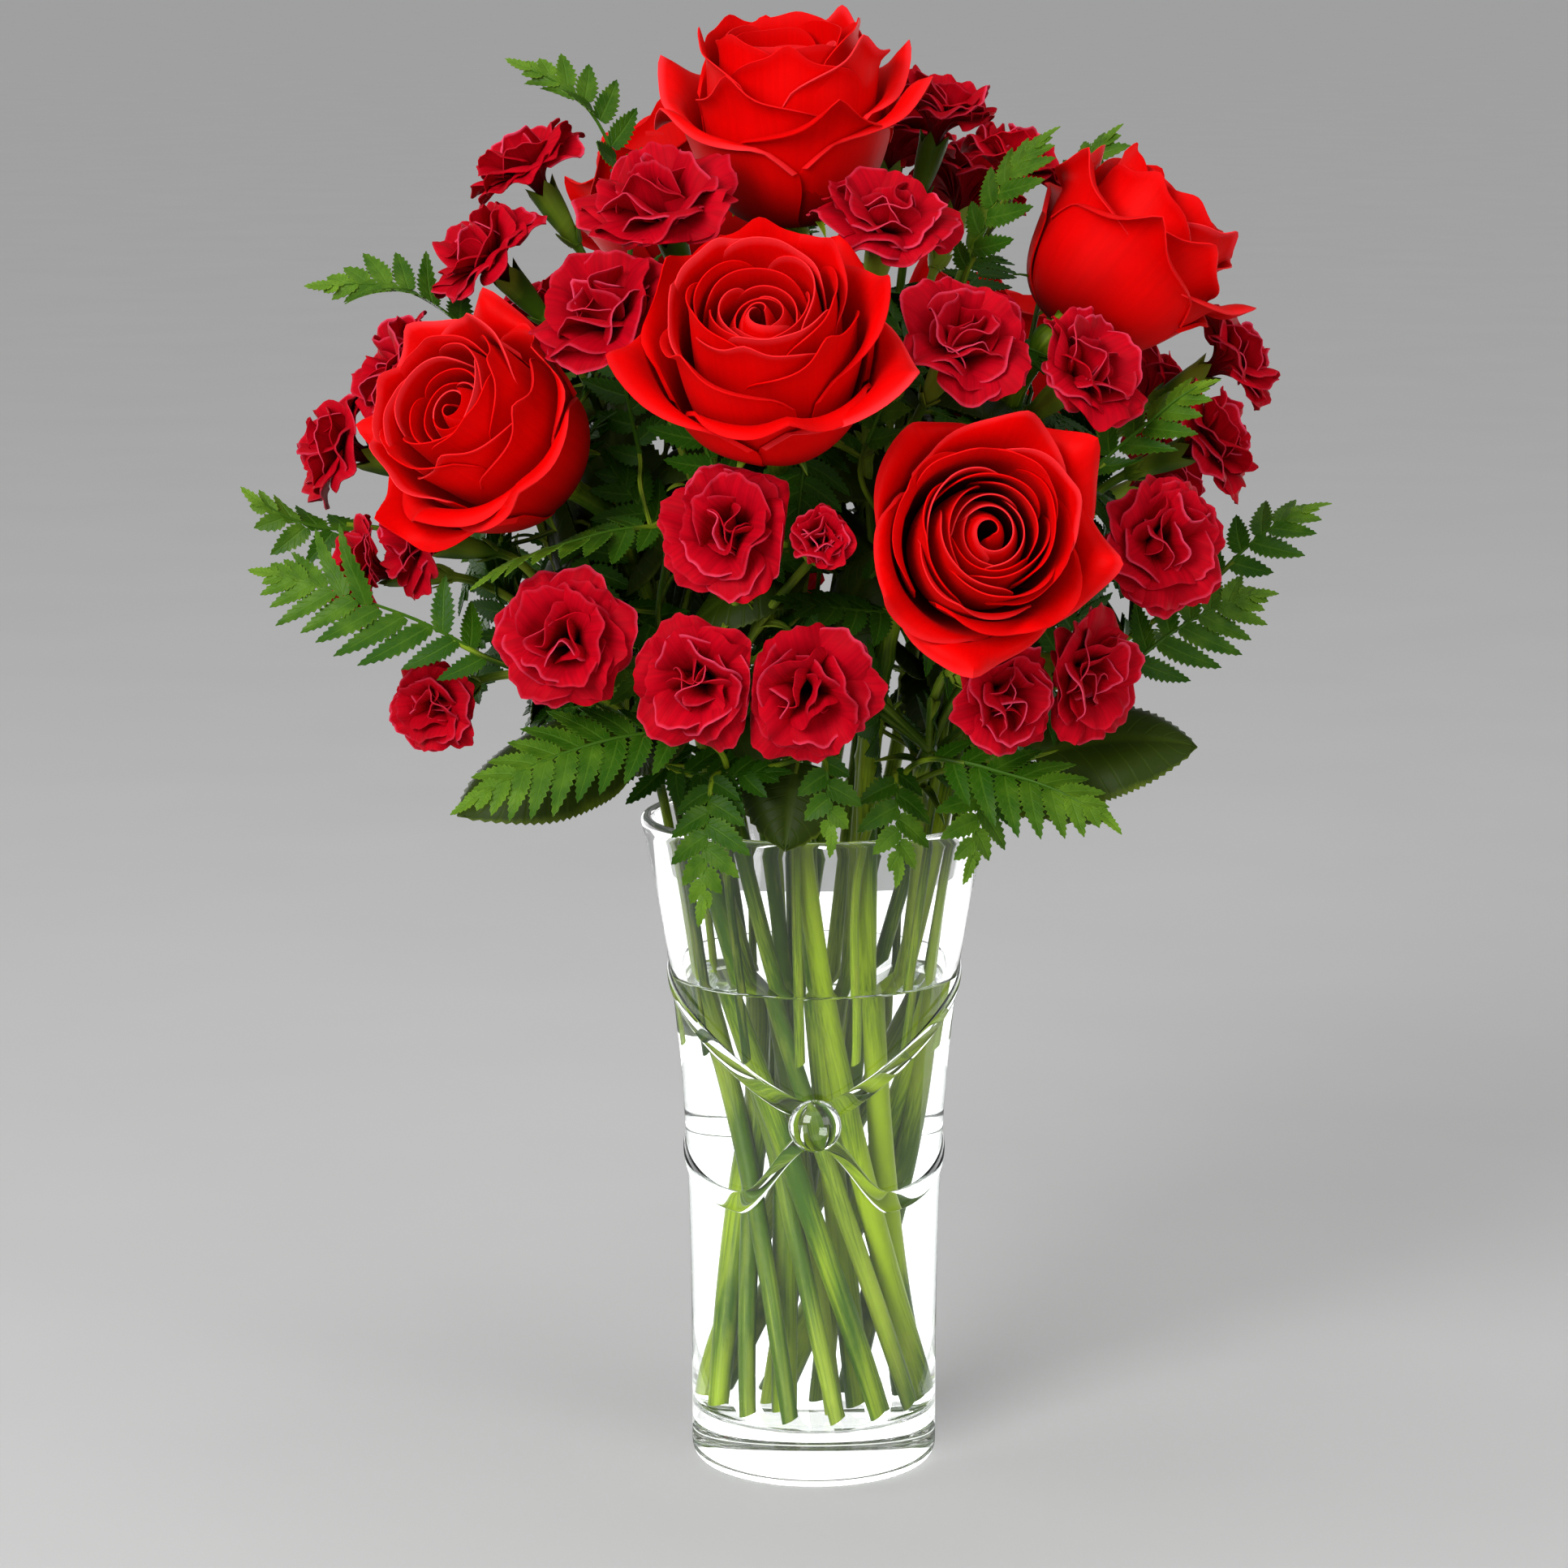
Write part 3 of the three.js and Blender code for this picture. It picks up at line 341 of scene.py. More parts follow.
FRONDS = [  # the blades of each frond: base, tip and width
    [((-72, -14, 436), (-98, -5, 477), 24), ((-112, -44, 384), (-161, -30, 404), 30),
     ((-150, -26, 338), (-184, -30, 339), 22)],
    [((-106, -90, 296), (-177, -74, 320), 40), ((-52, -98, 336), (-100, -112, 321), 30),
     ((-40, -94, 284), (-76, -104, 299), 24)],
    [((-46, -100, 272), (-110, -118, 252), 36), ((-34, -78, 252), (-37, -92, 214), 24),
     ((3, -90, 260), (5, -98, 238), 16)],
    [((40, -92, 262), (92, -112, 246), 34), ((56, -78, 256), (50, -94, 228), 24),
     ((26, -74, 254), (27, -88, 226), 24)],
    [((101, -60, 285), (146, -44, 309), 34), ((136, -16, 312), (166, -12, 334), 26)],
    [((88, -76, 350), (122, -78, 381), 28), ((19, -95, 362), (35, -100, 391), 22)],
    [((50, -58, 418), (74, -54, 456), 28), ((84, 6, 430), (98, 12, 456), 22)],
    [((-84, 66, 296), (-146, 82, 318), 38), ((-56, 80, 262), (-92, 122, 252), 34)],
    [((79, 77, 274), (132, 106, 272), 36), ((10, 94, 263), (4, 136, 248), 32),
     ((84, 60, 392), (122, 84, 412), 28)],
]
LEAF_STEMS = [  # the same for each stem of broad leaves
    [((-60, -66, 266), (-116, -84, 242), 44)],
    [((-6, -66, 256), (-10, -76, 229), 30)],
    [((72, -66, 258), (124, -70, 262), 36), ((62, -57, 252), (94, -72, 238), 30)],
    [((-52, 70, 256), (-100, 92, 238), 42), ((44, 74, 254), (80, 118, 243), 40)],
]


def unit(v):
    return v / np.maximum(np.linalg.norm(v, axis=-1, keepdims=True), 1e-9)


def even_places(targets, radius):
    """Even places on a ring at the mouth, in the order of what the stems lead to."""
    angles = np.array([math.atan2(t[1], t[0]) for t in targets])
    order = np.argsort(angles, kind="stable")
    step = 2 * math.pi / len(order)
    offsets = angles[order] - step * np.arange(len(order))
    start = math.atan2(np.sin(offsets).sum(), np.cos(offsets).sum())
    found = np.zeros((len(order), 3))
    for k, i in enumerate(order):
        a = start + k * step
        found[i] = (radius * math.cos(a), radius * math.sin(a), MOUTH_Z)
    return found


def along_bundle(mouth, z):
    """Where the straight stem through a point of the mouth meets another height."""
    turned_by = TWIST * (MOUTH_Z - WAIST_Z)
    waist = (mouth - turned_by * np.cross(UP, mouth)) / (1 + turned_by ** 2)
    point = waist + np.cross(UP, waist) * TWIST * (z - WAIST_Z)
    return np.array([point[0], point[1], z])


def along_collar(mouth, z):
    share = (z - COLLAR_FOOT_Z) / (MOUTH_Z - COLLAR_FOOT_Z)
    reach = COLLAR_FOOT + (COLLAR_MOUTH - COLLAR_FOOT) * share
    flat = unit(mouth * [1, 1, 0]) * reach
    return np.array([flat[0], flat[1], z])


def smooth_way(start, leaving, end, arriving, reach, steps):
    """Points of a smooth way that leaves one point and reaches another in given directions."""
    t = np.linspace(0, 1, steps + 1)[:, None]
    return ((2 * t ** 3 - 3 * t ** 2 + 1) * start + (t ** 3 - 2 * t ** 2 + t) * leaving * reach
            + (3 * t ** 2 - 2 * t ** 3) * end + (t ** 3 - t ** 2) * arriving * reach)


knots, held = [], []  # the knots of all stems, and which of them stay where they are
bends = {}  # the neighbours of a knot and how far it stands off their middle
links = []  # two knots, radius, plant and bloom of each stretch of a stem
balls = []  # middle, radius and own name of each bloom


def add_chain(points, plant, radii, start=None, held_tail=1, own=""):
    """A stem as a chain of knots. The first and the last ones, as told, stay where they are."""
    ids = []
    for k, point in enumerate(points):
        if k == 0 and start is not None:
            ids.append(start)
            continue
        ids.append(len(knots))
        knots.append(np.array(point, float))
        held.append(k == 0 or k >= len(points) - held_tail)
    for k in range(1, len(ids)):
        links.append((ids[k - 1], ids[k], radii[k - 1], plant, own))
    for before, here, after in zip(ids, ids[1:], ids[2:]):
        bends[here] = (before, after, knots[here] - (knots[before] + knots[after]) / 2)
    return ids


def turn_bloom(bloom, way):
    """Turns a bloom to face a way, and with it the top and the base of its hip or calyx."""
    bloom["axis"] = unit(way)
    bloom["top"] = bloom["middle"] - bloom["axis"] * (bloom["depth"] * bloom["radius"] + GAP)
    bloom["base"] = bloom["top"] - bloom["axis"] * bloom["cup"]


def new_bloom(place, depth, cup, own):
    """A bloom, which is also a ball that stems give way to."""
    *middle, radius = place
    bloom = dict(middle=np.array(middle, float), radius=radius, depth=depth, cup=cup, own=own,
                 bud=place == BUD)
    balls.append((bloom["middle"], 0.98 * radius, own))
    turn_bloom(bloom, bloom["middle"] - FOCUS)
    return bloom


plants = {"roses": [], "sprays": [], "fern": [], "leaf": []}
for i, (*place, ring) in enumerate(ROSES):
    rose = new_bloom(place, ROSE_DEPTH, HIP_LENGTH, f"rose{i}")
    plants["roses"].append(dict(rose, ring=ring, goal=rose["top"]))
for s, (ring, heads) in enumerate(SPRAYS):
    heads = [[new_bloom(place, CARNATION_DEPTH, CALYX_LENGTH, f"spray{s}-{h}-{b}")
              for b, place in enumerate(head)] for h, head in enumerate(heads)]
    blooms = [bloom for head in heads for bloom in head]
    goal = np.mean([bloom["base"] for bloom in blooms], axis=0)
    plants["sprays"].append(dict(ring=ring, heads=heads, blooms=blooms, goal=goal))
for kind, plan, stem_radius in (("fern", FRONDS, FROND_STEM), ("leaf", LEAF_STEMS, LEAF_STEM)):
    for blades in plan:
        ends = [dict(base=np.array(b, float), tip=np.array(t, float), width=w) for b, t, w in blades]
        goal = np.mean([end["base"] for end in ends], axis=0)
        plants[kind].append(dict(ends=ends, goal=goal, stem=stem_radius))

flowers, leafy = plants["roses"] + plants["sprays"], plants["fern"] + plants["leaf"]
for number, plant in enumerate(flowers + leafy):
    plant["number"] = number
stands = [([f for f in flowers if f["ring"] == ring], radius, along_bundle, FOOT_Z)
          for ring, radius in RING_RADIUS.items()]
stands.append((leafy, COLLAR_MOUTH, along_collar, COLLAR_FOOT_Z))
for group, radius, along, foot_z in stands:
    for plant, mouth in zip(group, even_places([p["goal"] for p in group], radius)):
        plant["mouth"] = mouth
        plant["foot"] = along(mouth, foot_z)
        plant["leaving"] = unit(mouth - plant["foot"])

for rose in plants["roses"]:
    reach = ROSE_PULL * np.linalg.norm(rose["top"] - rose["mouth"])
    points = smooth_way(rose["mouth"], rose["leaving"], rose["base"], rose["axis"], reach, 6)
    rose["route"] = add_chain(points, rose["number"], [ROSE_STEM] * 6, own=rose["own"])
    add_chain([rose["foot"], rose["mouth"]], rose["number"], [ROSE_STEM], own=rose["own"])
for spray in plants["sprays"]:
    reach = np.linalg.norm(spray["goal"] - spray["mouth"])
    toward = unit(spray["goal"] - spray["mouth"])
    fork = spray["mouth"] + toward * reach * SPRAY_FORK
    points = smooth_way(spray["mouth"], spray["leaving"], fork, toward, SPRAY_PULL * reach, 3)
    spray["route"] = add_chain(points, spray["number"], [SPRAY_STEM] * 3, held_tail=0)
    for bloom in spray["blooms"]:
        left = np.linalg.norm(bloom["base"] - fork)
        points = smooth_way(fork, BRANCH_PULLS[0] * toward, bloom["base"], BRANCH_PULLS[1] * bloom["axis"],
                            left, 2)
        bloom["route"] = add_chain([*points, bloom["top"]], spray["number"], [BRANCH, BRANCH, CALYX_RADIUS],
                                   start=spray["route"][-1], held_tail=2, own=bloom["own"])
for plant in leafy:
    reach = np.linalg.norm(plant["goal"] - plant["mouth"])
    toward = unit(plant["goal"] - plant["mouth"])
    fork = plant["mouth"] + toward * reach * LEAFY_FORK + UP * LEAFY_RISE
    points = smooth_way(plant["mouth"], LEAFY_PULLS[0] * plant["leaving"], fork, LEAFY_PULLS[1] * toward,
                        reach, 2)
    plant["route"] = add_chain(points, plant["number"], [plant["stem"]] * 2)
    for end in plant["ends"]:
        left = np.linalg.norm(end["base"] - fork)
        length = np.linalg.norm(end["tip"] - end["base"])
        outward = (end["tip"] - end["base"]) / left
        points = smooth_way(fork, PETIOLE_PULLS[0] * toward, end["base"], PETIOLE_PULLS[1] * outward, left, 2)
        arch = (end["base"] + end["tip"]) / 2 + UP * length * ARCH
        end["route"] = add_chain([*points, arch, end["tip"]], plant["number"],
                                 [PETIOLE, PETIOLE + 1, 5, 3], start=plant["route"][-1], held_tail=0)


def nearest_shares(p, q, r, s):
    """The nearest points of pairs of segments, as shares of their lengths."""
    d1, d2, w = q - p, s - r, p - r
    a, e, b = (d1 * d1).sum(1), (d2 * d2).sum(1), (d1 * d2).sum(1)
    c, f = (d1 * w).sum(1), (d2 * w).sum(1)
    det = a * e - b * b
    first = np.where(det > 1e-9, np.clip((b * f - c * e) / np.where(det > 1e-9, det, 1), 0, 1), 0.5)
    u = np.clip((b * first + f) / e, 0, 1)
    return np.clip((b * u - c) / a, 0, 1)[:, None], u[:, None]


def bend_clear(rounds=150, between_stems=1.3, off_blooms=1.0, push_share=0.45, stiffness=0.1):
    """Moves the free knots until stems of different plants, and stems and blooms, stay clear."""
    at = np.array(knots)
    ends, thick, plant = (np.array([link[part] for link in links]) for part in (slice(2), 2, 3))
    one, two = np.triu_indices(len(links), 1)
    apart = plant[one] != plant[two]
    one, two = one[apart], two[apart]
    ball_at, ball_radius = (np.array([ball[part] for ball in balls]) for part in (0, 1))
    link_i, ball_i = np.array([(i, j) for i, link in enumerate(links)
                               for j, ball in enumerate(balls) if ball[2] != link[4]]).T
    inner = np.array(list(bends))
    before, after = np.array([bends[k][:2] for k in inner]).T
    bend = np.array([bends[k][2] for k in inner])
    free = ~np.array(held)
    for _ in range(rounds):
        push = np.zeros_like(at)
        p, q, r, s = (at[ends[one, 0]], at[ends[one, 1]], at[ends[two, 0]], at[ends[two, 1]])
        t, u = nearest_shares(p, q, r, s)
        off = p + (q - p) * t - r - (s - r) * u
        distance = np.maximum(np.linalg.norm(off, axis=1), 0.01)
        reach = thick[one] + thick[two] + between_stems
        near = np.nonzero(distance < reach)[0]
        off = off[near] * (push_share * (reach - distance) / distance)[near, None]
        t, u = t[near], u[near]
        for share, side, link_end in ((1 - t, one, 0), (t, one, 1), (u - 1, two, 0), (-u, two, 1)):
            np.add.at(push, ends[side[near], link_end], off * share)
        p, q = at[ends[link_i, 0]], at[ends[link_i, 1]]
        along = q - p
        t = np.clip(((ball_at[ball_i] - p) * along).sum(1) / (along * along).sum(1), 0, 1)[:, None]
        off = p + along * t - ball_at[ball_i]
        distance = np.maximum(np.linalg.norm(off, axis=1), 0.01)
        reach = ball_radius[ball_i] + thick[link_i] + off_blooms
        ease = np.where(distance < reach, push_share * (reach - distance) / distance, 0)[:, None]
        np.add.at(push, ends[link_i, 0], off * ease * (1 - t))
        np.add.at(push, ends[link_i, 1], off * ease * t)
        push[inner] += stiffness * ((at[before] + at[after]) / 2 + bend - at[inner])
        at[free] += push[free]
    return at


at = bend_clear()

# ---------------------------------------------------------------- rose stems
# Each rose stands on one woody green stem, cut off at a slant at the foot, with faint joints where
# its leaves were stripped. At the top it swells to the hip, and five sepals fold back from it.

STEM_STEP = 4  # between rings of a stem
STEM_SIDES = 14
NECK_BENDS = [(0, 0, 0), (0, 0, 0.27), (0.12, 0, 0), (-0.25, 0, 0), (0, 0.3, 0), (0, 0, 0), (0, 0, 0)]

for rose, bend in zip(plants["roses"], NECK_BENDS):  # each neck turns its bloom to face its own way
    turn_bloom(rose, rose["axis"] + bend)
    at[rose["route"][-1]] = rose["base"]


def smooth_line(points, step):
    """Points at even steps on a smooth curve through the given ones."""
    points = np.array(points, float)
    gaps = np.linalg.norm(np.diff(points, axis=0), axis=1)
    points = points[np.concatenate([[True], gaps > 1e-6])]
    gaps = np.linalg.norm(np.diff(points, axis=0), axis=1)
    slopes = np.diff(points, axis=0) / gaps[:, None]
    inner = (slopes[:-1] * gaps[1:, None] + slopes[1:] * gaps[:-1, None]) / (gaps[1:] + gaps[:-1])[:, None]
    tangents = np.concatenate([slopes[:1], inner, slopes[-1:]])
    fine = [points[:1]]
    for k, gap in enumerate(gaps):
        t = np.linspace(0, 1, max(int(math.ceil(gap / step * 3)), 2) + 1)[1:, None]
        fine.append((2 * t ** 3 - 3 * t ** 2 + 1) * points[k] + (t ** 3 - 2 * t ** 2 + t) * gap * tangents[k]
                    + (3 * t ** 2 - 2 * t ** 3) * points[k + 1] + (t ** 3 - t ** 2) * gap * tangents[k + 1])
    fine = np.concatenate(fine)
    run = np.concatenate([[0], np.cumsum(np.linalg.norm(np.diff(fine, axis=0), axis=1))])
    even = np.linspace(0, run[-1], max(int(round(run[-1] / step)), 2) + 1)
    return np.stack([np.interp(even, run, fine[:, i]) for i in range(3)], axis=1), even


def rings_along(line, radii, sides):
    """Rings square to a line, turned as little as can be from one to the next."""
    along = unit(np.gradient(line, axis=0))
    angles = even_turn(sides)
    side = np.array([1, 0.3, 0])
    rings = []
    for point, way, radius in zip(line, along, radii):
        side = unit(side - way * (side @ way))
        other = np.cross(way, side)
        rings.append(point + radius * (np.cos(angles)[:, None] * side + np.sin(angles)[:, None] * other))
    return np.array(rings)


def shell(grid, thickness):
    """A thin closed body round a grid of points. Its upper side faces where rows cross columns."""
    rows, cols = grid.shape[:2]
    normal = unit(np.cross(np.gradient(grid, axis=0), np.gradient(grid, axis=1)))
    half = normal * np.broadcast_to(thickness, (rows, cols))[..., None] / 2
    points = np.concatenate([(grid + half).reshape(-1, 3), (grid - half).reshape(-1, 3)])
    count = rows * cols
    corner = (np.arange(rows - 1)[:, None] * cols + np.arange(cols - 1)).ravel()
    quads = np.stack([corner, corner + cols, corner + cols + 1, corner + 1], axis=1)
    edge = np.concatenate([np.arange(rows - 1) * cols, (rows - 1) * cols + np.arange(cols - 1),
                           np.arange(rows - 1, 0, -1) * cols + cols - 1, np.arange(cols - 1, 0, -1)])
    onward = np.roll(edge, -1)
    wall = np.stack([onward, edge, edge + count, onward + count], axis=1)
    return points, [quads, quads[:, ::-1] + count, wall]


class Growth:
    """Gathers the bodies of one piece. Every point keeps its place along and across its petal or
    leaf, the tone of that part and its age: on a leaf how young it is, and on a petal how strong
    the painted highlight on its rim is. On a stem, across and tone say how far round it a point is,
    and where it bears leaves of the same material its age is -1."""

    def __init__(self):
        self.points, self.faces, self.values, self.size = [], [], [], 0

    def add(self, body, along=0.0, across=0.0, tone=0.0, age=0.0):
        points, faces = body
        self.points.append(points)
        self.faces += [part + self.size for part in faces]
        self.size += len(points)
        self.values.append(np.stack([np.broadcast_to(v, len(points)) for v in (along, across, tone, age)]))

    def add_sheet(self, grid, thickness, tone=0.0, age=0.0):
        """A petal or leaf: along runs 0 to 1 by rows, across -1 to 1 by columns."""
        rows, cols = grid.shape[:2]
        along = np.repeat(np.linspace(0, 1, rows), cols)
        across = np.tile(np.linspace(-1, 1, cols), rows)
        self.add(shell(grid, thickness), np.tile(along, 2), np.tile(across, 2), tone, age)

    def finish(self, name, material, node):
        """Puts all of it in the scene as one piece."""
        along, across, tone, age = np.concatenate(self.values, axis=1)
        mesh = mesh_of(name, np.concatenate(self.points), self.faces, sharp=50,
                       along=along, across=across, tone=tone, age=age)
        add_piece(name, mesh, material, node)


def stem_body(points, radius_at, slant=0.0, sides=STEM_SIDES, step=STEM_STEP):
    """A round stem along points. radius_at takes the run from the foot and the whole length."""
    line, run = smooth_line(points, step)
    rings = rings_along(line, [radius_at(r, run[-1]) for r in run], sides)
    way = unit(line[1] - line[0])
    angles = even_turn(sides)
    rings[0] += way * (slant * (1 + np.cos(angles)))[:, None]
    body = closed_body(rings, rings[0].mean(axis=0), line[-1] + unit(line[-1] - line[-2]) * 0.1)
    along = np.concatenate([[0], np.repeat(run, sides), run[-1:]]) / 100
    round_it = np.concatenate([[0], np.tile(angles, len(run)), [0]])
    return body, along, np.cos(round_it), np.sin(round_it)


def jointed(radius, spacing, swell, rng):
    """The radius of a stem with low joints at uneven spaces, from above the water."""
    places = WATER_TOP + np.cumsum(rng.uniform(0.75, 1.25, 8)) * spacing

    def at_run(run, _):
        return radius * (1 + swell * np.exp(-((run - places) / (radius * 0.9)) ** 2).sum())
    return at_run


def square_to(axis):
    """Two ways square to an axis and to each other, the first as near to upright as can be."""
    across = unit(UP - axis * (axis @ UP))
    return across, np.cross(axis, across)


def walked(leans, step):
    """How far out and how high a way comes, from its leans at even steps."""
    return [np.concatenate([np.zeros_like(leans[:1]), np.cumsum(part(leans[:-1]) * step, axis=0)])
            for part in (np.cos, np.sin)]


def bent_leaf(base, out, up, leans, length, half, u):
    """A narrow leaf from base, by its leans and half its width at even steps."""
    reach, height = walked(leans, length / (len(leans) - 1))
    return (base + reach[:, None, None] * out + height[:, None, None] * up
            + (half[:, None] * u)[..., None] * np.cross(up, out))


def sepal_grid(base, out, up, length, width, back, rows=12, cols=7):
    """A narrow pointed leaf that leaves base and folds back. back is how far it bends, in radians."""
    t, u = np.linspace(0, 1, rows), np.linspace(-1, 1, cols)
    half = width / 2 * (1 - t) ** 0.7 * (0.75 + 1.1 * t * (1 - t)) + 0.05
    grid = bent_leaf(base, out, up, 1.1 - back * t ** 1.2, length, half, u)
    return grid + (0.35 * half[:, None] * u ** 2)[..., None] * (up - 0.3 * out)


def new_group(name, colours, numbers=(), masks=()):
    """An effect that several materials share. It gives a colour, a height and masks."""
    group = bpy.data.node_groups.new(name, "ShaderNodeTree")
    for title in (*colours, *numbers):
        kind = "NodeSocketColor" if title in colours else "NodeSocketFloat"
        group.interface.new_socket(title, in_out="INPUT", socket_type=kind)
    for title in ("Color", "Height", *masks):
        kind = "NodeSocketColor" if title == "Color" else "NodeSocketFloat"
        group.interface.new_socket(title, in_out="OUTPUT", socket_type=kind)
    given, result = group.nodes.new("NodeGroupInput"), group.nodes.new("NodeGroupOutput")
    return group, Shades(group), given.outputs, result.inputs


def grown_material(name, group, given, values, strength, relief):
    """A material of a group's colour and height. The relief is the height's, in millimetres."""
    material, shades, surface = new_material(name, values)
    effect = shades.node("Group", given, node_tree=group).outputs
    bump = shades.node("Bump", {"Strength": strength, "Distance": relief * MM, "Height": effect["Height"]})
    shades.set(surface.inputs, {"Base Color": effect["Color"], "Normal": bump.outputs["Normal"]})
    return material, shades, surface, effect


# Stem colour: fibre grain, warm patches and specks, plus painted shade. The fibre and long patches of noise
# mix a lit green with a shaded green.
stem_grain_and_painted_shade, shades, given, result = new_group("stem_grain_and_painted_shade", ("Light", "Dark", "Warm"))
spot = shades.spot()
drift = shades.times(shades.noise(spot, 10, detail=0), 3)
ways = {way: shades.add(shades.grown(value), drift) for way, value in zip("XYZ", ("across", "tone", "along"))}
skin = shades.node("CombineXYZ", ways).outputs[0]
fibre = shades.noise(skin, 1, (5, 5, 0.9), 4)
patch = shades.noise(skin, 1, (0.7, 0.7, 1.6), 2)
speck = shades.noise(spot, 900, (1, 1, 0.5), 2)
# Long patches of the shaded green: painted shade on the stem.
painted_shade = shades.noise(spot, 1, (75, 75, 3), 0)
painted_lit_share = shades.ramp(shades.add(shades.times(fibre, 0.5), painted_shade), 0.6, 1.0)
green = shades.mix(painted_lit_share, given["Dark"], given["Light"])
warmth = shades.ramp(shades.add(patch, shades.times(speck, 0.12)), 0.5, 0.8, 0, 0.45)
shades.set(result, {"Color": shades.mix(warmth, green, given["Warm"]),
                    "Height": shades.add(fibre, shades.times(speck, 0.3))})


# light and dark are the lit green and the shaded green of a stem, which its painted shade mixes.
def stem_material(name, light, shaded_green, warm):
    return grown_material(name, stem_grain_and_painted_shade, {"Light": light, "Dark": shaded_green, "Warm": warm},
                          {"Roughness": 0.45, "Specular IOR Level": 0.12}, strength=0.3, relief=0.2)[0]


# The lit and the shaded green of the rose stems, for their painted shade.
rose_green = stem_material("rose_stem_green", srgb(142, 168, 26), srgb(50, 84, 2), srgb(150, 168, 44))
for i, rose in enumerate(plants["roses"]):
    rng = np.random.default_rng(100 + i)
    growth = Growth()
    stem_radius = jointed(ROSE_STEM, 62, 0.16, rng)

    def hip_and_stem(run, whole):
        below = whole - run
        hip = HIP_RADIUS * (0.55 + 0.45 * math.sin(math.pi * (0.15 + 0.7 * below / HIP_LENGTH)))
        return max(stem_radius(run, whole), hip * (below < HIP_LENGTH + 2))
    growth.add(*stem_body([rose["foot"], *at[rose["route"]], rose["top"]], hip_and_stem, slant=1.8, step=2.5))
    axis = rose["axis"]
    across, other = square_to(axis)
    for k in range(5):
        a = 2 * math.pi * (k + rng.uniform(-0.15, 0.15)) / 5
        out = across * math.cos(a) + other * math.sin(a)
        foot = rose["top"] - axis * 1.5 + out * HIP_RADIUS * 0.72
        growth.add_sheet(sepal_grid(foot, out, axis, rng.uniform(19, 25), 8, rng.uniform(2.0, 2.9)), 0.5)
    growth.finish(f"rose_stalk_{i + 1}", rose_green, f"rose_stem_{i + 1}")

# ---------------------------------------------------------------- roses
# A rose is about thirty broad petals on one head, wound in a spiral. The inner ones stand tight,
# the outer ones lean out, and their rims roll back to a point. They are thin, soft and velvety.

PETALS = 30
GOLDEN = 2.39996  # the turn from one petal to the next, in radians
PETAL_THICKNESS = 0.45


def press(points, bloom):
    """Pushes petals back softly from the plane between their bloom and each neighbour."""
    for centre, ball_radius, ball_own in balls:
        toward = centre - bloom["middle"]
        reach = bloom["radius"] + ball_radius
        distance = np.linalg.norm(toward)
        if ball_own == bloom["own"] or distance > 1.15 * reach:
            continue
        plane = bloom["middle"] + toward * bloom["radius"] / reach
        toward = toward / distance
        room = (plane - points) @ toward - GAP
        excess = np.where(room < 16, room - 2 * np.log1p(np.exp(np.minimum(room, 16) / 2)), 0)
        points = points + excess[..., None] * toward
    return points


def in_bloom(local, bloom):
    """From a bloom's own frame, in shares of its radius, to where it grows beside its neighbours."""
    across, other = square_to(bloom["axis"])
    grown = local[..., :1] * across + local[..., 1:2] * other + local[..., 2:] * bloom["axis"]
    return press(bloom["middle"] + bloom["radius"] * grown, bloom)


def bent_profile(angles, length, roll, lip, cuts):
    """Reach and height along a petal. angles are its leans at even steps. The rim rolls back by
    roll over the lip, and each column is cut off at its own share of the length."""
    rows = len(angles)
    share = np.linspace(0, 1, rows)[:, None] * cuts
    into_lip = np.clip((share - (cuts - lip)) / lip, 0, 1)
    lean = np.interp(share, np.linspace(0, 1, rows), angles) - roll * into_lip ** 1.4
    return *walked(lean, length * cuts / (rows - 1)), share


def arc(u, width):
    """1 in the middle of a petal, falling off to its sides."""
    return np.exp(-(u / width) ** 2)


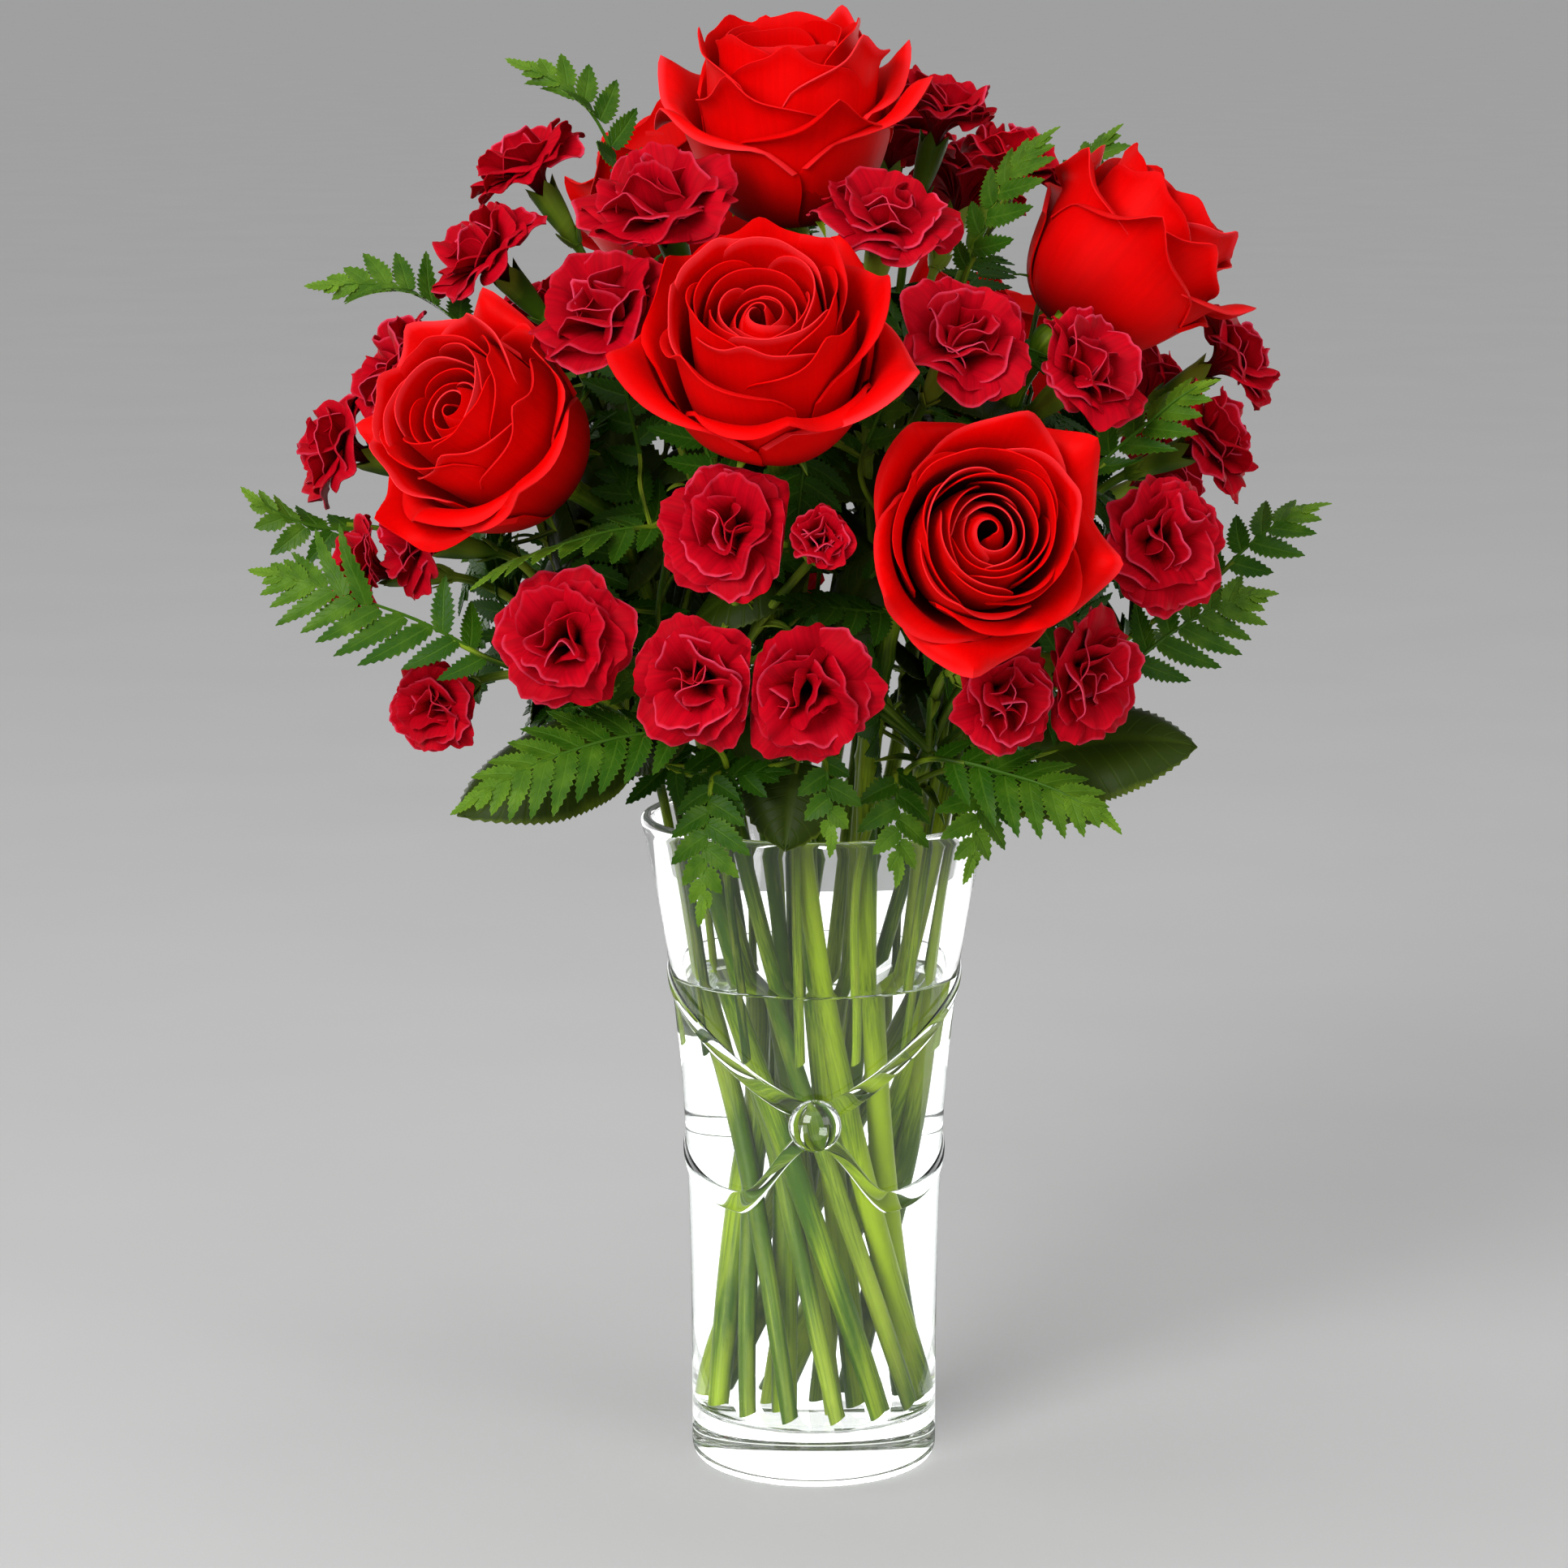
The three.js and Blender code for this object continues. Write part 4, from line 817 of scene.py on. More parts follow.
def rose_petal(s, turned_by, rng, rows=30, cols=27):
    """One petal in shares of the bloom's radius. s runs from 0, the innermost, to 1. The inner
    petals wind into a tall bud and the middle ones open. The guard petals make a low, wide cup."""
    u = np.linspace(-1, 1, cols)
    opening, guard = smooth((s - 0.35) / 0.4), smooth((s - 0.7) / 0.2)
    rim_reach = 0.03 + 0.84 * s ** 0.8 + 0.11 * guard
    rim_height = 0.4 + 0.37 * smooth(s / 0.45) - 0.11 * smooth((s - 0.5) / 0.2) - 0.38 * guard
    rim_height += 0.16 * (1 - smooth(s / 0.16))
    rim_height += rng.uniform(-0.05, 0.05) * (0.3 + s)
    waist = 0.24 + 0.46 * s ** 0.6
    t = np.linspace(0, 1, 60)[:, None]
    corners = np.array([(0.08, -0.84), (0.1 + 0.95 * waist, -0.86),
                        (waist - 0.03 * guard, 0.25 * rim_height - 0.05), (rim_reach, rim_height)])
    curve = ((1 - t) ** 3 * corners[0] + 3 * t * (1 - t) ** 2 * corners[1]
             + 3 * t ** 2 * (1 - t) * corners[2] + t ** 3 * corners[3])
    run = np.concatenate([[0], np.cumsum(np.linalg.norm(np.diff(curve, axis=0), axis=1))])
    lean = np.unwrap(np.arctan2(np.gradient(curve[:, 1]), np.gradient(curve[:, 0])))
    angles = np.interp(np.linspace(0, run[-1], rows), run, lean)
    cuts = 1 - 0.18 * np.abs(u) ** 4.5 - 0.17 * guard * np.abs(u)
    uneven = np.sin(u * rng.uniform(4, 7) + rng.uniform(0, 6))
    cuts += 0.09 * opening * arc(u, 0.2) + 0.01 * s * uneven
    roll = (0.3 + 0.5 * opening + 1.4 * guard - 0.6 * (1 - smooth(s / 0.2))) * rng.uniform(0.75, 1.25)
    roll = roll * (0.8 + 0.5 * np.abs(u) - 0.5 * opening * arc(u, 0.25))
    lip = np.maximum(cuts - 0.91 + 0.08 * opening + 0.1 * guard, 0.05)
    reach, height, share = bent_profile(angles, run[-1] * (1 + 0.1 * guard), roll, lip, cuts)
    reach, height = reach + corners[0, 0], height + corners[0, 1]
    wide = (0.42 + 0.58 * smooth(share / 0.62)) * (0.36 + 0.4 * s ** 0.6 + 0.18 * guard)
    spread = np.minimum(wide / np.maximum(reach, 0.03), 2.6 - 1.3 * smooth(s / 0.35))
    lift = smooth(share / 0.5)
    winding = 0.022 * (1 - smooth(s / 0.15)) + 0.0075 + 0.045 * smooth((s - 0.1) / 0.4) - 0.03 * guard
    rim = np.clip((share - 0.5) / 0.5, 0, 1) ** 1.5
    sway = 0.035 * rim * np.sin(u * rng.uniform(2, 3.5) + rng.uniform(0, 6)) * (0.2 + s)
    reach = reach + lift * winding * u * spread + sway
    height = height + 0.035 * s * rim * np.sin(u * rng.uniform(2, 4) + rng.uniform(0, 6))
    angle = turned_by + u * spread
    return np.stack([reach * np.cos(angle), reach * np.sin(angle), height], axis=2)


# Petal colour: the red flesh with its streaks, plus painted shade that darkens it towards the base, deep in
# the bloom, and a painted highlight along the rim.
petal_flesh_and_painted_light, shades, given, result = new_group(
    "petal_flesh_and_painted_light", ("Heart Shade And Streaks", "Flesh", "Rim"), ("Rim Start", "Streaks"))
along, across, tone, painted_rim_highlight = (shades.grown(value) for value in ("along", "across", "tone", "age"))
fan = shades.node("CombineXYZ", {"X": across, "Y": along, "Z": tone}).outputs[0]
vein = shades.noise(fan, 1, (16, 1.2, 9), 3)
cloud = shades.noise(shades.spot(), 120, detail=2)
# Painted shade: darker towards the base of the petal.
painted_heart_shade = shades.mix(shades.ramp(along, 0.1, 0.75), given["Heart Shade And Streaks"], given["Flesh"])
streak = shades.ramp(shades.add(vein, shades.times(cloud, 0.8)), 0.6, 1.15)
flesh = shades.mix(shades.times(streak, given["Streaks"]), painted_heart_shade, given["Heart Shade And Streaks"])
# Painted highlight: a paler rim, as strong as each petal's given number.
rim = shades.times(shades.ramp(along, given["Rim Start"], 1.0), painted_rim_highlight)
shades.set(result, {"Color": shades.mix(rim, flesh, given["Rim"]),
                    "Height": shades.add(vein, shades.times(cloud, 0.4))})


# heart is painted shade at the base of each petal, and it also colours the streaks. The rim colour is a
# painted highlight from Rim Start to the edge.
def petal_material(name, heart, flesh_colour, rim_highlight_colour, streaks, roughness):
    given = {"Heart Shade And Streaks": heart, "Flesh": flesh_colour, "Rim": rim_highlight_colour, "Rim Start": 0.95, "Streaks": streaks}
    values = {"Roughness": roughness, "Specular IOR Level": 0.05, "Sheen Weight": 0.02,
              "Sheen Roughness": 0.45, "Sheen Tint": srgb(255, 120, 120)}
    return grown_material(name, petal_flesh_and_painted_light, given, values, strength=0.2, relief=0.25)[0]


# A dark heart for the painted shade and a pink rim for the painted highlight.
velvet_red = petal_material("velvet_red_petal", srgb(88, 0, 0), srgb(224, 0, 0), srgb(244, 50, 56), 0.1, 0.55)
for i, rose in enumerate(plants["roses"]):
    rng = np.random.default_rng(200 + i)
    growth = Growth()
    start = rng.uniform(0, 2 * math.pi)
    for k in range(PETALS):
        grid = in_bloom(rose_petal(k / (PETALS - 1), start + k * GOLDEN, rng), rose)
        # The last number sets how strong each petal's painted rim highlight is.
        growth.add_sheet(grid, PETAL_THICKNESS, tone=rng.uniform(), age=rng.uniform(0, 1) ** 2)
    growth.finish(f"rose_{i + 1}", velvet_red, f"rose_bloom_{i + 1}")

# ---------------------------------------------------------------- carnation stems
# A spray carnation has one smooth, grey-green stem with swollen joints and grassy leaves in pairs.
# It forks to thin branches. Each ends in a long ribbed calyx with five teeth, over small scales.

CALYX_TEETH = 5
TOOTH = 4.5  # how far the teeth of a calyx stand up past the start of the petals
BRANCH_BENDS = {  # some branches turn their blooms further to the front
    (-125, -74, 276): (0.3, -0.7, 0), (113, -82, 331): (-0.3, -0.6, 0), (-80, -115, 304): (0.3, -0.3, 0.1)}

for spray in plants["sprays"]:
    for bloom in spray["blooms"]:
        bend = BRANCH_BENDS.get(tuple(bloom["middle"]))
        if bend:
            turn_bloom(bloom, bloom["axis"] + bend)
            at[bloom["route"][-2:]] = bloom["base"], bloom["top"]

# The lit and the shaded green of the carnation stems, for their painted shade.
carnation_green = stem_material("carnation_stem_green", srgb(138, 160, 44), srgb(58, 88, 10),
                                srgb(140, 154, 54))


def calyx_grid(bloom, sides=30, rows=16):
    """The tapered cup under a bloom, with its teeth in the last rows."""
    across, other = square_to(bloom["axis"])
    bud = 1.45 if bloom["bud"] else 1
    angles = even_turn(sides)
    around = np.cos(angles)[:, None] * across + np.sin(angles)[:, None] * other
    tooth = np.abs((angles * CALYX_TEETH / (2 * math.pi)) % 1 - 0.5) * 2
    rings = []
    for t in np.linspace(0, 1, rows):
        body = CALYX_NECK + (CALYX_RADIUS * bud - CALYX_NECK) * smooth(t * 1.15) ** 0.8
        top = (CALYX_LENGTH + TOOTH * tooth) * t
        radius = body * (1 + 0.03 * np.cos(15 * angles)) + 0.9 * max(0, t - 0.8) / 0.2 * tooth
        rings.append(bloom["base"] + bloom["axis"] * top[:, None] + radius[:, None] * around)
    return np.array(rings)


def grass_leaf(base, out, up, length, width, curl, rows=12):
    """A narrow folded leaf that leaves a joint and curls over."""
    t, u = np.linspace(0, 1, rows), np.linspace(-1, 1, 5)
    half = width / 2 * (1 - t ** 2) ** 0.8 + 0.06
    grid = bent_leaf(base, out, up, 1.25 - curl * t, length, half, u)
    return grid + (0.5 * half[:, None] * np.abs(u))[..., None] * unit(up * 0.6 - out)


def turn_aside(points, room, power=8):
    """Bends what would enter a bloom out of it and leaves what is far from it as it was."""
    points = points.copy()
    for centre, ball_radius, _ in balls:
        radius = ball_radius + room
        off = points - centre
        distance = np.maximum(np.linalg.norm(off, axis=-1, keepdims=True), 0.1)
        wanted = (distance ** power + radius ** power) ** (1 / power)
        points = np.where(distance < 3 * radius, centre + off * wanted / distance, points)
    return points


def leaf_pair(growth, foot, up, radius, rng, length):
    """Two grassy leaves that stand opposite each other at a joint of a stem."""
    out = unit(np.cross(up, rng.normal(size=3)))
    for sign in (1, -1):
        grid = grass_leaf(foot + out * sign * radius * 0.6, out * sign, up, length * rng.uniform(0.8, 1.1),
                          3.4, rng.uniform(0.9, 1.9))
        growth.add_sheet(turn_aside(grid, 1.5), 0.45)


for s, spray in enumerate(plants["sprays"]):
    rng = np.random.default_rng(300 + s)
    growth = Growth()
    route = [spray["foot"], *at[spray["route"]]]
    growth.add(*stem_body(route, jointed(SPRAY_STEM, 52, 0.28, rng), slant=1.4, step=2.5))
    for foot, past in zip(route[2:], route[3:]):
        leaf_pair(growth, foot, unit(past - foot), SPRAY_STEM, rng, 30)
    for bloom in spray["blooms"]:
        way = at[bloom["route"]]

        def branch_radius(run, whole):
            joint = 1 + 0.35 * math.exp(-((run - 0.45 * whole) / 2) ** 2)
            return max(BRANCH * joint, SPRAY_STEM * 0.8 * (1 - run / 8), CALYX_NECK * (1 - (whole - run) / 7))
        inside = bloom["base"] + bloom["axis"] * 2
        growth.add(*stem_body([*way[:-2], way[-2], inside], branch_radius, sides=10))
        cup = bloom["base"] + bloom["axis"] * (CALYX_LENGTH - 1)
        growth.add(closed_body(calyx_grid(bloom), bloom["base"], cup))
        leaf_pair(growth, way[1], unit(way[2] - way[1]), BRANCH, rng, 15)
        across = unit(np.cross(bloom["axis"], UP + 0.01))
        other = np.cross(bloom["axis"], across)
        for k in range(4):
            a = math.pi / 2 * (k + 0.5 * (k > 1)) + 0.3
            out = across * math.cos(a) + other * math.sin(a)
            foot = bloom["base"] + out * CALYX_NECK * 0.8
            growth.add_sheet(sepal_grid(foot, out, bloom["axis"], 7.5, 5.5, -0.35, rows=7, cols=5), 0.4)
    growth.finish(f"carnation_stalk_{s + 1:02d}", carnation_green,
                  f"carnation_stem_{s + 1:02d}")

# ---------------------------------------------------------------- carnations
# A spray carnation's bloom is about twenty-three fan-shaped petals that come out of the calyx
# together. The outer ones spread to round lobes, the inner ones stand up, curled, and every rim
# is waved.

FAN_LAYERS = ((5, 0, 0.25), (6, 0.42, 0.55), (6, 0.7, 0.82), (6, 0.94, 1))  # petals, from and to s


def fan_petal(s, turned_by, opening, rng, rows=17, cols=23):
    """One petal in shares of the bloom's radius. s runs from 0, the innermost, to 1. The outer ones
    are round lobes, each with one side over the next. The inner ones are narrow and curled up."""
    u = np.sin(np.linspace(-1, 1, cols) * math.pi / 2)
    heart = 1 - smooth(s / 0.45)
    end_lean = math.radians(84 - 78 * smooth(s) * opening + rng.uniform(-8, 8) * (1 + heart))
    knee = smooth(np.linspace(0, 1, rows) / 0.62)
    angles = math.radians(84) + (end_lean - math.radians(84)) * knee
    length = (1.12 + 0.16 * s) * rng.uniform(0.9, 1.04) - 0.25 * heart * rng.uniform(0, 1)
    cuts = 1 - 0.4 * (1 - np.sqrt(1 - 0.97 * u ** 2))
    cuts += 0.022 * np.sin(u * rng.uniform(8, 13) + rng.uniform(0, 6)) + rng.uniform(-0.004, 0.004, cols)
    reach, height, share = bent_profile(angles, length, 0.35 + 0.5 * s + 0.5 * heart, 0.3, cuts)
    fan = 0.05 + 0.42 * (1 - 0.3 * heart) * rng.uniform(0.88, 1.1) * smooth((share - 0.16) / 0.5)
    side = u * fan
    rim = np.clip((share - 0.35) / 0.65, 0, 1) ** 1.3
    bulge = rim * (0.12 * np.sin(u * rng.uniform(2.0, 3.4) + rng.uniform(0, 6)) * (1 + 0.5 * heart)
                   + 0.025 * np.sin(u * rng.uniform(6, 9) + rng.uniform(0, 6))
                   + 0.09 * u * (1 - heart)
                   + heart * rng.uniform(1.4, 3.0) * rng.choice([-1, 1]) * side ** 2)
    lean = np.interp(share, np.linspace(0, 1, rows), angles)
    reach = 0.05 + 0.04 * s + reach - bulge * np.sin(lean)
    height = -0.64 + height + bulge * np.cos(lean)
    x = reach * math.cos(turned_by) - side * math.sin(turned_by)
    y = reach * math.sin(turned_by) + side * math.cos(turned_by)
    return np.stack([x, y, height], axis=2)


# A dark heart for the painted shade and a pink rim for the painted highlight.
crimson = petal_material("crimson_petal", srgb(84, 0, 6), srgb(190, 0, 24), srgb(232, 76, 110), 0.35, 0.65)
heads = [head for spray in plants["sprays"] for head in spray["heads"]]
for number, head in enumerate(heads, 1):
    growth = Growth()
    for b, bloom in enumerate(head):
        rng = np.random.default_rng(400 + 10 * number + b)
        start = rng.uniform(0, 2 * math.pi)
        opening = 0.3 if bloom["bud"] else rng.uniform(0.86, 1.04)
        petals = [(low + (high - low) * k / count, start + layer + 2 * math.pi * k / count)
                  for layer, (count, low, high) in enumerate(FAN_LAYERS) for k in range(count)]
        for s, turned_by in petals:
            grid = in_bloom(fan_petal(s, turned_by + rng.uniform(-0.25, 0.25), opening, rng), bloom)
            # The last number sets how strong each petal's painted rim highlight is, weaker on the outer
            # petals.
            growth.add_sheet(grid, 0.35, tone=rng.uniform(), age=rng.uniform(0, 1) ** 2 * (1 - 0.5 * s))
    growth.finish(f"carnation_{number:02d}", crimson, f"carnation_bloom_{number:02d}")

# ---------------------------------------------------------------- fern
# Leatherleaf fern: a wiry brown-green midrib with leaflets in turn on either side, each one
# toothed and grooved along its middle. Tips are young and pale. Small side shoots of the same
# stems fill the inside of the bouquet.

LEAF_FOCUS = np.array([-5.0, 0, 240])  # blades face away from this point, and up
LEAFLET_PITCH = 7.6  # between leaflets on one side
RIB_RADIUS = 0.75
BLADE_CLEAR = 3.2  # a blade keeps this clear of a bloom
LIFTS = (0, 0.4, 0.8, 1.4)  # a leaflet rises off its blade, as far as it must, to pass a bloom
MOST_STRETCH = 5  # and isn't grown where it would still bend further than this round the bloom


def blade_frames(rib, places, turn_to=(0, 0, 0)):
    """Places on an arched rib, with the ways along it, out of its face and to its side."""
    base, arch, tip = rib
    t = places[:, None]
    line = base * (1 - t) * (1 - 2 * t) + arch * 4 * t * (1 - t) + tip * t * (2 * t - 1)
    along = unit(np.gradient(line, axis=0))
    out = unit(base - LEAF_FOCUS) + 0.6 * UP + turn_to
    face = unit(out - along * (along @ out)[:, None])
    return line, along, face, np.cross(along, face)


def leaflet_grid(root, out, ahead, face, length, width, droop, teeth, depth, forward=0.5, cols=5):
    """A toothed leaflet, grooved along the middle. out and ahead lie in the blade's face, and
    forward is how far it points along the blade."""
    rows = 2 * teeth + 2
    t, u = np.linspace(0, 1, rows)[:, None], np.linspace(-1, 1, cols)
    way = unit(out + forward * ahead)
    side = unit(ahead - way * (ahead @ way))
    half = width / 2 * 1.2 * np.sin(math.pi * (0.12 + 0.88 * t) ** 0.85) ** 0.8 * (1 - 0.35 * t) + 0.1
    peak = (np.arange(rows) % 2 == 1)[:, None] & (t < 1)
    half = half * np.where(peak, 1 + depth, 1 - depth)
    half[-1] = 0.1
    run = t * length + np.where(peak, 0.25, 0) * (length / teeth) * np.abs(u)
    fall = -droop * length * t ** 1.5 + 0.28 * half * np.abs(u) - 0.1 * half * u ** 2
    curve = 0.12 * length * t ** 2
    return root + run[..., None] * way + (half * u + curve)[..., None] * side + fall[..., None] * face


def add_fern_blade(growth, rib, width, rng, clear=BLADE_CLEAR, age=1.0, turn_to=(0, 0, 0)):
    """A blade of leaflets from base to tip on the arched rib."""
    length = np.linalg.norm(rib[2] - rib[0])
    count = max(int(round(length / (LEAFLET_PITCH / 2))), 6)
    even = np.linspace(0, 1, count + 1)
    line, along, face, side = blade_frames(rib, even * (1.3 - 0.3 * even), turn_to)
    line = turn_aside(line, clear)
    rings = rings_along(line, np.linspace(RIB_RADIUS, 0.25, count + 1), 6)
    growth.add(closed_body(rings, rings[0].mean(axis=0), rings[-1].mean(axis=0)), 0.02)
    for k in range(count):
        share = k / count * (1.3 - 0.3 * k / count)
        reach = width / 2 * math.sin(math.pi * (0.2 + 0.79 * share)) ** 0.95 + 2.2
        reach *= rng.uniform(0.88, 1.1)
        outward = side[k] * (1 if k % 2 else -1)
        teeth = int(np.clip(round(reach / 1.7), 4, 10))
        wide = LEAFLET_PITCH * (0.55 + 0.4 * math.sin(math.pi * (0.2 + 0.8 * share)))
        droop, tone = rng.uniform(0.1, 0.32), rng.uniform()
        for lift in LIFTS:
            grid = leaflet_grid(line[k], unit(outward + lift * face[k]), along[k],
                                unit(face[k] - lift * outward), reach * 1.15, wide, droop, teeth,
                                0.08 + 0.08 * min(reach / 18, 1), 0.45 + 1.3 * share ** 4)
            moved = turn_aside(grid, clear)
            if np.ptp(np.linalg.norm(moved - grid, axis=-1)) < MOST_STRETCH:
                growth.add_sheet(moved, 0.32, tone=tone, age=age * (0.4 + 0.45 * share ** 1.5))
                break
    tip = leaflet_grid(line[-1] - along[-1] * 1.5, along[-1], side[-1] * 0.01, face[-1],
                       LEAFLET_PITCH * 1.2, 3.4, 0.1, 5, 0.15)
    growth.add_sheet(turn_aside(tip, clear), 0.32, tone=rng.uniform(), age=age * 0.85)


leaf_flesh, shades, given, result = new_group(
    "leaf_flesh", ("Old", "Young", "Vein"), ("Vein Pitch", "Edge"), ("Stem",))
along, across, age = (shades.grown(value) for value in ("along", "across", "age"))
off_rib = shades.maths("ABSOLUTE", across)
midrib = shades.ramp(off_rib, 0.16, 0.03)
slanted = shades.times(shades.maths("SUBTRACT", along, shades.times(off_rib, 0.22)), given["Vein Pitch"])
side_vein = shades.ramp(shades.maths("PINGPONG", slanted, 0.5), 0.12, 0.0, 0, 0.7)
veins = shades.maths("MAXIMUM", midrib, side_vein)
cloud = shades.noise(shades.spot(), 130)
grain = shades.noise(shades.spot(), 1400, detail=1)
youth = shades.add(age, shades.times(shades.maths("SUBTRACT", cloud, 0.5), 0.7))
youth = shades.add(youth, shades.times(shades.ramp(off_rib, 0.82, 1.0), given["Edge"]))
flesh = shades.mix(shades.ramp(youth, 0.35, 1.35), given["Old"], given["Young"])
shades.set(result, {"Color": shades.mix(shades.times(veins, 0.4), flesh, given["Vein"]),
                    "Height": shades.maths("SUBTRACT", shades.times(grain, 0.25), veins),
                    "Stem": shades.ramp(age, -0.4, -0.6)})


def leaf_material(name, old, young, vein_colour, vein_pitch, edge, roughness):
    """The leaf's own greens, and on its stem, where the age is below 0, the grain and painted shade of a
    stem.
    """
    given = {"Old": old, "Young": young, "Vein": vein_colour, "Vein Pitch": vein_pitch, "Edge": edge}
    values = {"Roughness": roughness, "Specular IOR Level": 0.12, "Coat Roughness": 0.35}
    material, shades, surface, effect = grown_material(name, leaf_flesh, given, values, 0.5, 0.35)
    # A lit green and a shaded green for the painted shade of the leaf stems.
    bark = {"Light": srgb(126, 152, 28), "Dark": srgb(36, 62, 4), "Warm": srgb(140, 150, 50)}
    stem = shades.node("Group", bark, node_tree=stem_grain_and_painted_shade).outputs
    shades.set(surface.inputs, {"Base Color": shades.mix(effect["Stem"], effect["Color"], stem["Color"])})
    return material


fern_green = leaf_material("fern_green", srgb(36, 76, 4), srgb(118, 156, 40), srgb(78, 116, 28),
                           vein_pitch=6, edge=0.12, roughness=0.45)


def leafy_stems(growth, plant, rng):
    """The stem of a frond or leafy branch, from its foot to its fork, and on to each blade."""
    way = [plant["foot"], *at[plant["route"]]]
    growth.add(*stem_body(way, jointed(plant["stem"], 40, 0.1, rng), slant=1.0, sides=12, step=3), age=-1)
    for end in plant["ends"]:
        way = at[end["route"]]
        inside = way[2] + (way[3] - way[2]) * 0.3

        def petiole_radius(run, whole, thick=plant["stem"] * 0.8):
            return PETIOLE + (thick - PETIOLE) * max(0, 1 - run / 10) - 0.2 * run / whole
        growth.add(*stem_body([*way[:3], inside], petiole_radius, sides=8, step=3), age=-1)


DOME_MIDDLE, DOME_REACH = np.array([-5, 0, 322]), np.array([145, 112, 130])  # of all the blooms
TWIG = 0.8  # radius


def inner_shoots(kind, count, depth, length, seed):
    """Even places inside the dome of blooms for small blades. Each grows from the nearest leafy
    stem. Gives, for each plant, the ribs of its blades and the points of their twigs."""
    rng = np.random.default_rng(seed)
    found = {plant["number"]: [] for plant in plants[kind]}
    roots = []
    for plant in plants[kind]:
        knots_of = [*plant["route"][1:], *(end["route"][k] for end in plant["ends"] for k in (1, 2))]
        roots += [(plant["number"], point) for point in at[knots_of]]
    root_at = np.array([point for _, point in roots])
    for k in range(count):
        height = 1 - 1.75 * (k + 0.5) / count
        turned_by = k * GOLDEN
        flat = math.sqrt(1 - height ** 2)
        outward = np.array([flat * math.cos(turned_by), flat * math.sin(turned_by), height])
        middle = DOME_MIDDLE + DOME_REACH * outward * rng.uniform(*depth)
        across_it = unit(np.cross(outward, rng.normal(size=3)))
        way = unit(across_it + 0.35 * outward + 0.35 * UP)
        half = rng.uniform(*length) / 2
        base, tip = middle - way * half, middle + way * half
        distance = np.linalg.norm(root_at - base, axis=1) + 25 * (root_at[:, 2] > base[2])
        number, root = roots[int(np.argmin(distance))]
        twig = [root, (root + base) / 2 + outward * 3, base, base + way * half * 0.4]
        found[number].append(((base, middle + outward * half * 0.16, tip), twig))
    return found


def add_twig(growth, twig):
    growth.add(*stem_body(twig, lambda run, whole: TWIG, sides=6, step=4), age=-1)


shoots = inner_shoots("fern", 90, (0.6, 0.84), (36, 56), 700)
for i, plant in enumerate(plants["fern"], 1):
    rng = np.random.default_rng(500 + i)
    growth = Growth()
    leafy_stems(growth, plant, rng)
    for end in plant["ends"]:
        add_fern_blade(growth, at[end["route"]][2:], end["width"], rng,
                       turn_to=(0, -2.0, 0) if i == 1 else (0, 0, 0))
    for rib, twig in shoots[plant["number"]]:
        add_twig(growth, twig)
        add_fern_blade(growth, rib, rng.uniform(22, 30), rng, clear=1.5, age=0.25)
    growth.finish(f"fern_{i}", fern_green, f"fern_frond_{i}")

# ---------------------------------------------------------------- broad leaves
# Dark, leathery leaves with a finely toothed pale edge and sunken veins, on short woody stems
# under the lowest blooms.

TOOTH_PITCH = 2.2


def broad_leaf_grid(rib, width, rng, cols=15, clear=BLADE_CLEAR):
    teeth = int(np.linalg.norm(rib[2] - rib[0]) / TOOTH_PITCH)
    rows = 2 * teeth
    t, u = np.linspace(0, 1, rows)[:, None], np.linspace(-1, 1, cols)
    line, along, face, side = blade_frames(rib, t[:, 0])
    half = width / 2 * np.sin(math.pi * (0.1 + 0.9 * t) ** 0.95) ** 0.72 + 0.1
    peak = (np.arange(rows) % 2 == 1)[:, None]
    edge = np.abs(u) > 0.99
    reach = half * u * np.where(edge, np.where(peak, 1.035, 0.985), 1)
    ahead = np.where(edge & peak, 0.8, 0)
    rise = 0.3 * np.abs(u) - 0.42 * u ** 2 - 0.16 * np.abs(u) ** 3
    vein = 0.25 * np.cos(2 * math.pi * (t * 9 - 2.0 * np.abs(u))) * (1 - np.abs(u)) * np.abs(u) * 2
    wave = 0.05 * np.sin(t * rng.uniform(7, 10) + np.sign(u) + rng.uniform(0, 6)) * np.abs(u) ** 2
    lift = half * (rise + wave) + vein
    grid = (line[:, None] + reach[..., None] * side[:, None] + ahead[..., None] * along[:, None]
            + lift[..., None] * face[:, None])
    return turn_aside(grid, clear)


leaf_dark = leaf_material("broad_leaf_green", srgb(40, 56, 3), srgb(104, 124, 24), srgb(62, 80, 12),
                          vein_pitch=9, edge=0.6, roughness=0.5)
shoots = inner_shoots("leaf", 80, (0.4, 0.68), (42, 60), 701)
for i, plant in enumerate(plants["leaf"], 1):
    rng = np.random.default_rng(600 + i)
    growth = Growth()
    leafy_stems(growth, plant, rng)
    for end in plant["ends"]:
        grid = broad_leaf_grid(at[end["route"]][2:], 1.15 * end["width"], rng)
        growth.add_sheet(grid, 0.55, tone=rng.uniform(), age=0.15)
    for rib, twig in shoots[plant["number"]]:
        add_twig(growth, twig)
        grid = broad_leaf_grid(rib, rng.uniform(26, 36), rng, cols=9, clear=1.5)
        growth.add_sheet(grid, 0.5, tone=rng.uniform(), age=0.0)
    growth.finish(f"broad_leaves_{i}", leaf_dark, f"leaf_stem_{i}")

# ---------------------------------------------------------------- the table top, light and camera
# A plain pale top, two large soft lamps in front, the stronger on the left, and a sun through a
# white ceiling. Two panels, a white card and a white sheet stand behind the glass. They show only
# in and through it, and light nothing matt. The camera stands where the photo's did.

